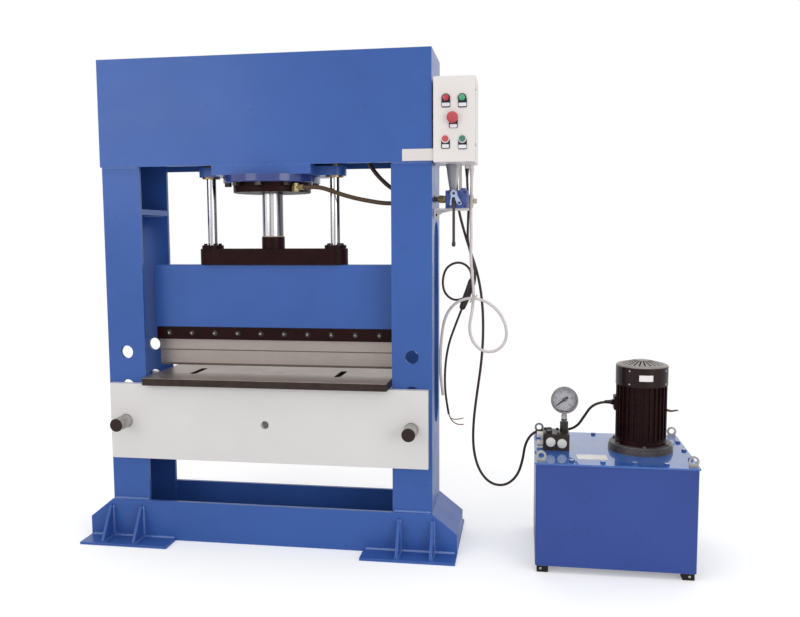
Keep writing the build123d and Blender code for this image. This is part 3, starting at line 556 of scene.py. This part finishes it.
# Mesh helpers. Every point is in millimetres of the shared frame.
def piece(name, verts, faces, look, body, smooth=False, bevel=0.0):
    """A mesh of its own that rides on a body."""
    mesh = bpy.data.meshes.new(name)
    mesh.from_pydata([tuple(c * MM for c in v) for v in verts], [], faces)
    b = bmesh.new()
    b.from_mesh(mesh)
    bmesh.ops.remove_doubles(b, verts=b.verts, dist=1e-6)
    bmesh.ops.recalc_face_normals(b, faces=b.faces)
    b.to_mesh(mesh)
    b.free()
    o = bpy.data.objects.new(name, mesh)
    scene.collection.objects.link(o)
    if bevel:
        mod = o.modifiers.new("bevel", "BEVEL")
        mod.width = bevel * MM
        mod.segments = 2
        mod.limit_method = "ANGLE"
    if smooth:
        for p in mesh.polygons:
            p.use_smooth = True
        mesh.set_sharp_from_angle(angle=math.radians(38))
    mesh.materials.append(MATERIALS[look])
    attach(o, body)
    return o


def basis(axis):
    """Two directions square to an axis, and the axis."""
    z = Vector(axis).normalized()
    x = Vector((0, 0, 1)) if abs(z.z) < 0.9 else Vector((1, 0, 0))
    x = (x - z * x.dot(z)).normalized()
    return x, z.cross(x), z


def lathe_data(profile, origin, axis, segments):
    """Rings of (radius, height) pairs about an axis. A radius of 0 closes the end."""
    x, y, z = basis(axis)
    o = Vector(origin)
    verts, faces, rings = [], [], []
    for r, h in profile:
        if r <= 1e-6:
            verts.append(tuple(o + z * h))
            rings.append([len(verts) - 1])
        else:
            start = len(verts)
            for k in range(segments):
                a = 2 * math.pi * k / segments
                verts.append(tuple(o + z * h + x * (r * math.cos(a)) + y * (r * math.sin(a))))
            rings.append(list(range(start, start + segments)))
    for a, b in zip(rings, rings[1:]):
        for k in range(segments):
            k2 = (k + 1) % segments
            if len(a) == 1 and len(b) > 1:
                faces.append((a[0], b[k], b[k2]))
            elif len(b) == 1 and len(a) > 1:
                faces.append((a[k], b[0], a[k2]))
            elif len(a) > 1:
                faces.append((a[k], b[k], b[k2], a[k2]))
    return verts, faces


def join_data(parts):
    """One mesh from several."""
    verts, faces = [], []
    for v, f in parts:
        base = len(verts)
        verts.extend(v)
        faces.extend(tuple(i + base for i in face) for face in f)
    return verts, faces


def turned_data(profile, places, axis, segments):
    """The same turned form at several places."""
    return join_data([lathe_data(profile, place, axis, segments) for place in places])


def turned(name, profile, places, axis, look, segments, body="frame"):
    """One smooth piece of one or more turned forms of the same profile."""
    v, f = turned_data(profile, places, axis, segments)
    return piece(name, v, f, look, body, smooth=True)


def slab_data(outline, origin, u_axis, v_axis, thickness):
    """A flat plate of any outline in the u, v plane, thickened along u x v."""
    u, v = Vector(u_axis), Vector(v_axis)
    n = u.cross(v)
    o = Vector(origin)
    low = [tuple(o + u * a + v * b) for a, b in outline]
    high = [tuple(o + u * a + v * b + n * thickness) for a, b in outline]
    count = len(outline)
    faces = [tuple(range(count))[::-1], tuple(range(count, 2 * count))]
    faces += [(i, (i + 1) % count, count + (i + 1) % count, count + i) for i in range(count)]
    return low + high, faces


def front_slab(outline, origin, thickness):
    """A plate that faces the front, from an outline in x and z, thickened towards the front."""
    return slab_data(outline, origin, RIGHT, UP, thickness)


def around(radius, degrees, x=0.0, y=0.0):
    """Points round a centre at the given angles."""
    angles = [math.radians(a) for a in degrees]
    return [(x + radius * math.cos(a), y + radius * math.sin(a)) for a in angles]


def rounded(w, h, r, steps=4):
    """A rectangle with round corners."""
    cx, cy = w / 2 - r, h / 2 - r
    points = []
    for x, y, first in ((cx, cy, 0), (-cx, cy, 90), (-cx, -cy, 180), (cx, -cy, 270)):
        points += around(r, [first + 90 * k / steps for k in range(steps + 1)], x, y)
    return points


def hexagon(r, turn):
    """Corners of a hexagon, turned by some degrees."""
    return around(r, [60 * k + turn for k in range(6)])


def weld(name, runs, radius):
    """Fillet welds: lumpy beads along straight corners. A run is start, end and the corner's two sides."""
    parts = []
    for start, end, side_a, side_b in runs:
        a, b = Vector(start), Vector(end)
        sa, sb = Vector(side_a), Vector(side_b)
        steps = max(2, int((b - a).length / 6))
        verts, faces = [], []
        for k in range(steps + 1):
            p = a.lerp(b, k / steps)
            r = radius * (0.86 + 0.2 * random.random())
            edge = 0.2 if k in (0, steps) else 1.0
            bow = r * 0.62 * edge
            corners = (p, p + sa * r * edge, p + (sa + sb) * bow, p + sb * r * edge)
            verts += [tuple(corner) for corner in corners]
        for k in range(steps):
            i = 4 * k
            for j in range(4):
                faces.append((i + j, i + (j + 1) % 4, i + 4 + (j + 1) % 4, i + 4 + j))
        faces += [(0, 1, 2, 3), (4 * steps, 4 * steps + 3, 4 * steps + 2, 4 * steps + 1)]
        parts.append((verts, faces))
    v, f = join_data(parts)
    return piece(name, v, f, "bead", "frame", smooth=True)


# Cords. Their control points are the routes of the solids.
def route_curve(name, points, radius, look, resolution=12, sides=3):
    """A round NURBS line that its control points pull into shape, with a radius in millimetres."""
    curve = bpy.data.curves.new(name, "CURVE")
    curve.dimensions = "3D"
    spline = curve.splines.new("NURBS")
    spline.points.add(len(points) - 1)
    for point, place in zip(spline.points, points):
        point.co = (*[c * MM for c in place], 1)
    spline.order_u = 3
    spline.use_endpoint_u = True
    spline.resolution_u = resolution
    curve.bevel_depth = radius * MM
    curve.bevel_resolution = sides
    curve.use_fill_caps = True
    curve.materials.append(MATERIALS[look])
    o = bpy.data.objects.new(name, curve)
    scene.collection.objects.link(o)
    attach(o, "frame")
    return o


def cord(name, node_name, points, radius, look):
    """The visible line of a cord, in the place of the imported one."""
    o = route_curve(name, points, radius, look, resolution=8, sides=4)
    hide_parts(node_name)
    return o


MOTOR_CABLE = [
    (712, 4, 1434),
    (712, 4, 1376),
    (714, 20, 1306),
    (730, 36, 1230),
    (757, 44, 1140),
    (791, 48, 1040),
    (809, 44, 930),
    (813, 38, 812),
    (806, 37, 700),
    (790, 37, 585),
    (776, 37, 470),
    (775, 36, 365),
    (797, 34, 280),
    (842, 32, 228),
    (900, 31, 222),
    (946, 32, 262),
    (966, 34, 326),
    (974, 36, 390),
    (1003, 39, 436),
    (1055, 41, 447),
    (1112, 40, 444),
    (1165, 34, 460),
    (1192, 22, 505),
    (1216, 6, 550),
    (1256, 0, 569),
    (1291, 0, 569),
]
SUPPLY_CABLE = [
    (751, 5, 1434),
    (751, 5, 1382),
    (757, 16, 1304),
    (753, 26, 1225),
    (752, 28, 1160),
    (768, 29, 1105),
    (782, 31, 1050),
    (779, 33, 995),
    (750, 36, 951),
    (700, 40, 936),
    (661, 44, 967),
    (654, 48, 1021),
    (672, 52, 1070),
    (720, 55, 1088),
    (762, 56, 1062),
    (768, 57, 1008),
    (748, 57, 955),
    (726, 56, 898),
    (702, 54, 836),
    (680, 50, 774),
    (668, 46, 706),
    (664, 44, 634),
    (668, 44, 560),
    (680, 44, 495),
]
WHITE_HOSE = [
    (768.5, 5, 1434),
    (768.5, 5, 1390),
    (767, 8, 1330),
    (765, 11, 1262),
    (767, 12, 1186),
    (765, 12, 1110),
    (771, 11, 1040),
    (778, 10, 970),
    (772, 7, 900),
    (760, 3, 840),
    (772, 0, 787),
    (810, -3, 749),
    (862, -5, 749),
    (900, -7, 787),
    (902, -8, 841),
    (881, -8, 891),
    (846, -8, 928),
    (800, -8, 950),
    (750, -6, 952),
    (706, 2, 931),
    (675, 14, 892),
    (659, 26, 842),
    (651, 34, 775),
    (648, 36, 703),
    (650, 37, 632),
    (658, 37, 570),
]
motor_cable = cord("motor_cable_line", "motor_cable", MOTOR_CABLE, 5, "cable")
supply_cable = cord("supply_cable_line", "supply_cable", SUPPLY_CABLE, 4.5, "cable")
white_hose = cord("white_hose_line", "white_hose", WHITE_HOSE, 5.5, "tube")


def line_of(curve_object):
    """Points in millimetres along a cord's own line, with its bevel left out."""
    data = curve_object.data.copy()
    data.bevel_depth = 0
    probe = bpy.data.objects.new("probe", data)
    mesh = bpy.data.meshes.new_from_object(probe)
    points = [v.co / MM for v in mesh.vertices]
    bpy.data.meshes.remove(mesh)
    bpy.data.objects.remove(probe)
    bpy.data.curves.remove(data)
    return points


def tube_data(points, radii, segments=14):
    """A closed tube that follows points, with a radius at each."""
    verts, faces = [], []
    x = None
    for i, p in enumerate(points):
        ahead = (points[min(i + 1, len(points) - 1)] - points[max(i - 1, 0)]).normalized()
        if x is None:
            x = basis(ahead)[0]
        x = (x - ahead * x.dot(ahead)).normalized()
        y = ahead.cross(x)
        for k in range(segments):
            a = 2 * math.pi * k / segments
            verts.append(tuple(p + x * (radii[i] * math.cos(a)) + y * (radii[i] * math.sin(a))))
    for i in range(len(points) - 1):
        here, there = i * segments, (i + 1) * segments
        for k in range(segments):
            k2 = (k + 1) % segments
            faces.append((here + k, here + k2, there + k2, there + k))
    faces.append(tuple(range(segments))[::-1])
    last = (len(points) - 1) * segments
    faces.append(tuple(range(last, last + segments)))
    return verts, faces


def place_on(points, distance):
    """The place at a distance along a line of points."""
    gone = 0.0
    for a, b in zip(points, points[1:]):
        step = (b - a).length
        if gone + step >= distance:
            return a.lerp(b, (distance - gone) / step)
        gone += step
    return points[-1].copy()


def on_cord_data(curve_object, start, profile, segments=20):
    """A tube on a cord's own line, from (distance, radius) pairs that count from start."""
    line = line_of(curve_object)
    return tube_data([place_on(line, start + d) for d, r in profile], [r for d, r in profile], segments)


# Tapered strain reliefs under the box's glands and at the motor
GLAND_Z = 1434
# Gland x and y, and radius of its cord
GLANDS = ((712, 4, 5), (751, 5, 4.5), (768.5, 5, 5.5))
for n, (x, y, r) in enumerate(GLANDS):
    profile = [
        (0, 0),
        (r + 3.2, 0),
        (r + 3.4, -2),
        (r + 2.6, -8),
        (r + 1.2, -22),
        (r + 0.6, -30),
        (r * 0.9, -30.5),
        (0, -30.5),
    ]
    look, slot = ("dark", "cable_jacket") if n < 2 else ("tube", "white_tube")
    turned(f"strain_relief_{n + 1}", profile, [(x, y, GLAND_Z)], UP, look, 20)
profile = [(0, 0), (9, 0), (9, -4), (7.4, -7), (6.4, -24), (5.2, -27), (0, -27)]
motor_relief = turned("motor_relief", profile, [(1291, 0, 569)], RIGHT, "dark", 20)

# Splice sleeve and bare wires of the supply cable
splice = [(0, 6.5), (8, 11.5), (22, 14), (50, 14.5), (75, 14.5), (100, 13.5), (118, 12), (125, 7)]
v, f = on_cord_data(supply_cable, 826, splice)
sleeve = piece("cable_sleeve", v, f, "sleeve", "frame", smooth=True)
WIRE_RADIUS = 2.2
PALE_WIRE = [
    (680, 44, 497),
    (682, 43, 486),
    (690, 41, 478),
    (704, 39, 475),
    (722, 38, 478),
    (738, 38, 482),
]
BROWN_WIRE = [
    (680.5, 45.5, 497),
    (684, 47, 482),
    (694, 48, 466),
    (708, 48, 456),
    (724, 47, 453),
    (738, 46, 456),
]
bare_wires = [
    route_curve("bare_wire_pale", PALE_WIRE, WIRE_RADIUS, "pale_wire"),
    route_curve("bare_wire_brown", BROWN_WIRE, WIRE_RADIUS, "copper"),
]

# Joint of the white hose beside the valve, and the ring that ties its loop
joint_sleeve = on_cord_data(white_hose, 96, [(0, 6.6), (6, 9), (14, 9.5), (38, 9.5), (46, 9), (50, 6.4)])
knob = [(0, 0), (6.5, 0), (6.5, 8), (9.5, 9.5), (10, 17), (8.5, 20), (0, 20.5)]
joint_knob = lathe_data(knob, (768, 8.5, 1314), RIGHT, 20)
v, f = join_data([joint_sleeve, joint_knob])
hose_joint = piece("hose_joint", v, f, "cream", "frame", smooth=True)
ring = around(3.2, range(0, 361, 36), 17)
hose_tie = turned("hose_tie", ring, [(777, 1, 949)], (1, 0, -1), "cream", 28)

# Control box: dark holders with bare plates under the buttons, and dark rings round the lamps
DOOR_FRONT = -152
HOLDER_HALF = 15.5
# Button centre x and z, plate centre x, holder's low edge, plate centre below the button, plate width
HOLDERS = [
    (687, 1668, 687, -33, -23.0, 27),
    (744, 1667, 745.5, -33.5, -23.5, 27),
    (711, 1599, 713.5, -36, -28.5, 25),
    (685, 1527, 686, -35, -26.0, 24),
    (745, 1526, 745.7, -37, -27.8, 28),
]
for n, (x, z, plate_x, low, plate_z, width) in enumerate(HOLDERS):
    side = plate_x - x
    outline = [
        (side - HOLDER_HALF, -3),
        (side - HOLDER_HALF, low + 4),
        (side - 14.3, low + 1.2),
        (side - 11.5, low),
        (side + 11.5, low),
        (side + 14.3, low + 1.2),
        (side + HOLDER_HALF, low + 4),
        (side + HOLDER_HALF, -3),
    ]
    outline += around(15.3, range(-14, -167, -12))
    v, f = front_slab(outline, (x, DOOR_FRONT, z), 2.4)
    piece(f"holder_{n + 1}", v, f, "holder", "door_body", bevel=0.4)
    v, f = front_slab(rounded(width, 12.4, 2.2), (plate_x, DOOR_FRONT - 2.4, z + plate_z), 0.8)
    piece(f"legend_{n + 1}", v, f, "legend", "door_body", bevel=0.25)
profile = [(11.3, 0), (15.2, 0), (15.2, 4.0), (13.8, 5.4), (11.3, 5.4), (11.3, 0)]
for n, (x, z) in enumerate(((687, 1668), (744, 1667))):
    place = (x, DOOR_FRONT, z)
    turned(f"lamp_ring_{n + 1}", profile, [place], FORWARD, "holder", 36, "door_body")

# Hand valve: the casting that guards the lever, its posts, and screws at the corners of the block
VALVE_FRONT = -70
guard = [(723.5, 1331)]
guard += around(12, range(0, 201, 20), 711, 1337)
guard += [(700, 1325), (697, 1304), (696.5, 1296), (702.5, 1295), (703.2, 1316), (705, 1322), (708, 1325)]
guard += [(712, 1325), (715.5, 1322), (717, 1316), (722, 1302), (729, 1296), (738, 1297), (739.5, 1303)]
guard += [(734, 1315), (727, 1325)]
parts = [front_slab(guard, (0, -101.2, 0), 3.2)]
for x, z, r in ((731.5, 1304, 4.5), (699.6, 1300, 2.8)):
    post = [(0, 0), (r, 0), (r, 31.6), (0, 31.6)]
    parts.append(lathe_data(post, (x, VALVE_FRONT + 0.2, z), FORWARD, 16))
v, f = join_data(parts)
piece("lever_guard", v, f, "casting", "frame", bevel=0.8)
guard_bolt = [(0, 0), (4.6, 0), (4.6, 2.0), (3.8, 2.8), (1.8, 2.8), (1.8, 1.2), (0, 1.2)]
guard_places = [(711, -104.2, 1338), (731.5, -104.2, 1304)]
block_screw = [(0, 0), (4, 0), (4, 2.6), (3.3, 3.4), (1.9, 3.4), (1.9, 1), (0, 1)]
block_places = [(x, VALVE_FRONT, z) for x in (688, 749.5) for z in (1293, 1343.5)]
bolts = turned_data(guard_bolt, guard_places, FORWARD, 18)
screws = turned_data(block_screw, block_places, FORWARD, 18)
v, f = join_data([bolts, screws])
piece("valve_screws", v, f, "bolt", "frame", smooth=True)
profile = [(15.1, 0), (17, 0.2), (17.4, 2.4), (16.6, 5), (15.1, 5.4), (15.1, 0)]
turned("boot_clip", profile, [(703, -40, 1349)], UP, "plated", 28)
outline = [(641, 1278), (641, 1249), (646, 1250), (652, 1262), (664, 1270), (682, 1274), (700, 1278)]
v, f = front_slab(outline, (0, -30, 0), 4)
piece("shelf_gusset", v, f, "shelf", "frame", bevel=0.5)
head = [(0, 0), (5.5, 0), (5.5, 3.4), (4.6, 4.4), (0, 4.4)]
v, f = turned_data(head, [(641, y, 1262) for y in (-52, -12)], RIGHT, 6)
piece("shelf_bolts", v, f, "bolt", "frame")

# Pressure gauge: face, strokes and figures, and the nut under its case
GAUGE_X, GAUGE_Z = 1117, 577
STEM = (GAUGE_X, -20)
v, f = lathe_data([(0, 0), (44.7, 0), (44.7, 0.5), (0, 0.5)], (GAUGE_X, -13.05, GAUGE_Z), FORWARD, 56)
piece("dial_face", v, f, "dial", "frame")
# Each figure is drawn in strokes on a grid 1 wide and 2 high
STROKES = {
    "0": ((0, 0, 0, 2), (0, 2, 1, 2), (1, 2, 1, 0), (1, 0, 0, 0)),
    "1": ((0.6, 0, 0.6, 2),),
    "2": ((0, 2, 1, 2), (1, 2, 1, 1), (1, 1, 0, 1), (0, 1, 0, 0), (0, 0, 1, 0)),
    "5": ((1, 2, 0, 2), (0, 2, 0, 1), (0, 1, 1, 1), (1, 1, 1, 0), (1, 0, 0, 0)),
}
FIGURES = ("0", "5", "10", "15", "20", "25")
FIRST_DEG, SWEEP_DEG = 225, 270
MARKS = 50


def stroke(x0, z0, x1, z1, width):
    """A thin bar on the dial from one point to another, with its ends half a width past them."""
    along = Vector((x1 - x0, z1 - z0)).normalized() * (width / 2)
    side = Vector((-along.y, along.x))
    (ax, az), (bx, bz) = (x0 - along.x, z0 - along.y), (x1 + along.x, z1 + along.y)
    outline = [(ax - side.x, az - side.y), (bx - side.x, bz - side.y)]
    outline += [(bx + side.x, bz + side.y), (ax + side.x, az + side.y)]
    return front_slab(outline, (GAUGE_X, -13.6, GAUGE_Z), 0.15)


parts = []
for n in range(MARKS + 1):
    a = math.radians(FIRST_DEG - SWEEP_DEG * n / MARKS)
    inner = 35.5 if n % 10 == 0 else 38 if n % 5 == 0 else 40
    width = 0.9 if n % 10 == 0 else 0.5
    across, height = math.cos(a), math.sin(a)
    parts.append(stroke(inner * across, inner * height, 42.5 * across, 42.5 * height, width))
for n, figure in enumerate(FIGURES):
    a = math.radians(FIRST_DEG - SWEEP_DEG / (len(FIGURES) - 1) * n)
    left = 29 * math.cos(a) - 2.4 * len(figure) + 0.8
    low = 29 * math.sin(a) - 3
    for k, digit in enumerate(figure):
        start = left + 4.8 * k
        for x0, z0, x1, z1 in STROKES[digit]:
            parts.append(stroke(start + 3 * x0, low + 3 * z0, start + 3 * x1, low + 3 * z1, 0.7))
v, f = join_data(parts)
piece("dial_marks", v, f, "mark", "frame")
neck = [(7.2, 0), (9.6, 0), (9.6, 2.6), (8.4, 3.2), (8.4, 4.4), (9.6, 5), (9.6, 7), (7.2, 7)]
nut = slab_data(hexagon(12.4, 30), (*STEM, 505), RIGHT, (0, 1, 0), 13)
v, f = join_data([nut, lathe_data(neck, (*STEM, 518), UP, 28)])
piece("gauge_nut", v, f, "plated", "frame", bevel=0.5)
profile = [(7, 0), (11.4, 0.1), (11.9, 1), (11.4, 1.9), (7, 2)]
turned("stem_rings", profile, [(*STEM, 499), (*STEM, 502)], UP, "stem", 28)

# Valve block: screws on its top, dark rims behind the caps, which also stand for the shade round them as a
# painted shadow, and their domed faces
profile = [(0, 0), (5, 0), (5, 4), (4.3, 4.8), (2.6, 4.8), (2.6, 2), (0, 2)]
places = [(x, y, 457) for x in (1049, 1094) for y in (-61, 11)]
turned("block_screws", profile, places, UP, "bolt", 20)
# Dark rims behind the caps: partly rims and partly a painted shadow round each cap.
rim = [(17.1, 0), (19.4, 0), (19.4, 3), (18.2, 4), (17.1, 4), (17.1, 0)]
dome = [(0, 0), (15.2, 0), (14.6, 1.0), (9, 2.3), (0, 2.8)]
for n, (x, z) in enumerate(((1067, 428), (1108, 424))):
    turned(f"cap_rim_and_shadow_{n + 1}", rim, [(x, VALVE_FRONT, z)], FORWARD, "stem", 36)
    turned(f"cap_dome_{n + 1}", dome, [(x, -78.9, z)], FORWARD, "caps", 36)

# Bare labels on the cover and on the motor
MOTOR_X = 1396
u, w = Vector((1, 0.05, 0)).normalized(), Vector((-0.05, 1, 0)).normalized()
v, f = slab_data(rounded(105, 62, 1.5), (1210, -142, 396.02), tuple(u), tuple(w), 0.6)
piece("cover_label", v, f, "label", "frame")


def curved_plate(radius, thickness, start, end, low, high, steps=14):
    """A plate bent round the motor's axis, between two angles from its front."""
    verts, faces = [], []
    for k in range(steps + 1):
        a = math.radians(start + (end - start) * k / steps)
        for r in (radius, radius + thickness):
            for z in (low, high):
                verts.append((MOTOR_X + r * math.sin(a), -r * math.cos(a), z))
    for k in range(steps):
        i = 4 * k
        for p0, p1 in ((0, 1), (1, 3), (3, 2), (2, 0)):
            faces.append((i + p0, i + p1, i + 4 + p1, i + 4 + p0))
    faces += [(0, 1, 3, 2), (4 * steps, 4 * steps + 2, 4 * steps + 3, 4 * steps + 1)]
    return verts, faces


v, f = curved_plate(93.05, 0.7, -13.5, 16.5, 664, 686)
piece("motor_label", v, f, "label", "frame")

# Motor: screws and pressed rim of the fan cover, lid of the terminal box, and a stub of wire
screw = [(0, 0), (3.6, 0), (3.4, 1.2), (2.2, 2.1), (0, 2.3)]
parts = []
for n in range(4):
    a = math.radians(-35 + 90 * n)
    out = (math.sin(a), -math.cos(a), 0)
    for z in (650, 698):
        parts.append(lathe_data(screw, (MOTOR_X + 92.8 * out[0], 92.8 * out[1], z), out, 14))
v, f = join_data(parts)
piece("cover_screws", v, f, "plated", "frame", smooth=True)
profile = [
    (86.6, 0),
    (93.2, 0.2),
    (93.9, 1.4),
    (93.6, 3),
    (90.6, 7.4),
    (86.9, 9.3),
    (86.4, 8.7),
    (90.0, 6.8),
    (92.6, 2.6),
    (86.6, 0),
]
turned("cover_rim", profile, [(MOTOR_X, 0, 705.6)], UP, "cover", 64)
v, f = slab_data(rounded(44, 50, 3), (1298.9, 0, 569), FORWARD, UP, 2.2)
piece("terminal_lid", v, f, "motor", "frame", bevel=0.8)
# Place along the wire stub, and its radius there
STUB = [
    ((1484, -8, 546), 4.6),
    ((1490, -9, 545), 4.8),
    ((1499, -10, 543), 4.2),
    ((1508, -12, 544), 3.6),
    ((1517, -14, 547), 3.2),
    ((1526, -15, 546), 2.2),
]
v, f = tube_data([Vector(place) for place, r in STUB], [r for place, r in STUB])
piece("wire_stub", v, f, "wire", "frame", smooth=True)

# Ram: pale wiper ring on the collar, washers of its bolts, and pale plated domes on the clamp bolts as
# painted glints
profile = [(40.4, 0), (43.4, 0), (43.4, 2.2), (42.2, 3.4), (40.4, 3.4), (40.4, 0)]
turned("wiper_ring", profile, [(0, 0, 1184)], UP, "beige", 48, "ram")
clamp_x = [-423 + 94 * n for n in range(10)]
washer = [(0, 0), (10.5, 0), (10.5, 1.4), (9.8, 2), (0, 2)]
places = [(x, -35, 808) for x in clamp_x]
turned("clamp_washers", washer, places, FORWARD, "bolt", 24, "ram")
# Painted glints: pale plated domes on the clamp bolts' centres.
glint_dome = [(0, 0), (3.6, 0), (3.6, 0.8), (2.6, 1.8), (0, 2.0)]
places = [(x, -42, 808) for x in clamp_x]
turned("clamp_glint_domes", glint_dome, places, FORWARD, "plated", 16, "ram")
washer = [(0, 0), (9, 0), (9, 1.2), (8.4, 1.8), (0, 1.8)]
places = [(px, py, 1152) for x in (-247, 247) for px, py in around(30, (45, 135, 225, 315), x)]
turned("rod_washers", washer, places, UP, "bolt", 20, "ram")

# Screws in the front of the tank's feet
profile = [(0, 0), (4.6, 0), (4.4, 1.6), (3.2, 2.4), (0, 2.4)]
turned("foot_screws", profile, [(x, -232, 13) for x in (1031, 1537)], FORWARD, "plated", 14)

# Welds: gussets on the feet, uprights at the base and at the head, ribs inside the uprights
FOOT_PLATE_TOP = 10
BASE_FACE_Y = 139
UPRIGHT_FACE_Y = 125
runs = []
for front in (-1, 1):
    out = (0, front, 0)
    for x in (-638, -512, 512, 638):
        for side in (-1, 1):
            flat, across = x + 5 * side, (side, 0, 0)
            low, high = (flat, front * BASE_FACE_Y, 12), (flat, front * BASE_FACE_Y, 132)
            runs.append((low, high, across, out))
            near, far = (flat, front * 141, FOOT_PLATE_TOP), (flat, front * 221, FOOT_PLATE_TOP)
            runs.append((near, far, across, UP))
weld("gusset_welds", runs, 5)
runs = []
for front in (-1, 1):
    out = (0, front, 0)
    for side in (-1, 1):
        for z, way in ((156, UP), (1450, (0, 0, -1))):
            level = (front * UPRIGHT_FACE_Y, z)
            runs.append(((side * 487, *level), (side * 633, *level), out, way))
        low = (front * BASE_FACE_Y, FOOT_PLATE_TOP)
        runs.append(((side * 380, *low), (side * 724, *low), out, UP))
weld("frame_welds", runs, 6)
runs = []
for side in (-1, 1):
    for z, up in ((1292, 1), (1272, -1)):
        runs.append(((side * 621, -110, z), (side * 621, 110, z), (-side, 0, 0), (0, 0, up)))
        for y in (-111, 111):
            runs.append(((side * 487, y, z), (side * 620, y, z), (0, -y / 111, 0), (0, 0, up)))
weld("rib_welds", runs, 5)

# Floor, world and lamps. The floor's glow is only seen by the camera and doesn't light the press.
FLOOR_GLOW = 0.27
WORLD_LIGHT, WORLD_SEEN = 0.78, 1.0
floor_mesh = bpy.data.meshes.new("floor")
floor_mesh.from_pydata([(-14, -9, 0), (16, -9, 0), (16, 16, 0), (-14, 16, 0)], [], [(0, 1, 2, 3)])
floor = bpy.data.objects.new("floor", floor_mesh)
scene.collection.objects.link(floor)
m, tree, bsdf = new_material("pale_floor")
tree.links.new(greys(tree, noise(tree, 1.5, 3), 1, 0.90, 0.93), bsdf.inputs["Base Color"])
bsdf.inputs["Roughness"].default_value = 0.8
bsdf.inputs["Specular IOR Level"].default_value = 0.1
bsdf.inputs["Emission Color"].default_value = (1, 1, 1, 1)
rays = node(tree, "ShaderNodeLightPath").outputs
tree.links.new(times(tree, rays["Is Camera Ray"], FLOOR_GLOW), bsdf.inputs["Emission Strength"])
floor_mesh.materials.append(m)

world = bpy.data.worlds.new("studio")
scene.world = world
world.use_nodes = True
tree = world.node_tree
background = tree.nodes["Background"]
background.inputs["Color"].default_value = (1, 1, 1, 1)
rays = node(tree, "ShaderNodeLightPath").outputs
seen = largest(tree, rays["Is Camera Ray"], rays["Is Glossy Ray"])
seen = largest(tree, seen, rays["Is Transmission Ray"])
level = node(tree, "ShaderNodeMapRange")
level.inputs["To Min"].default_value = WORLD_LIGHT
level.inputs["To Max"].default_value = WORLD_SEEN
tree.links.new(seen, level.inputs["Value"])
tree.links.new(level.outputs["Result"], background.inputs["Strength"])


def area(name, place, aim, size, watts):
    """A soft rectangular lamp, in metres, turned to its aim."""
    data = bpy.data.lights.new(name, "AREA")
    data.energy = watts
    data.shape = "RECTANGLE"
    data.size, data.size_y = size
    lamp = bpy.data.objects.new(name, data)
    scene.collection.objects.link(lamp)
    lamp.location = place
    lamp.rotation_euler = (Vector(aim) - Vector(place)).to_track_quat("-Z", "Y").to_euler()


area("key", (-3.4, -5.4, 2.6), (0.3, 0, 0.8), (3.0, 2.4), 46)
area("fill", (4.8, -4.6, 1.8), (0.6, 0, 0.7), (2.6, 2.6), 62)
area("top", (0.4, -0.6, 4.8), (0.4, 0, 0), (4.0, 3.0), 30)
scene.view_settings.view_transform = "Standard"
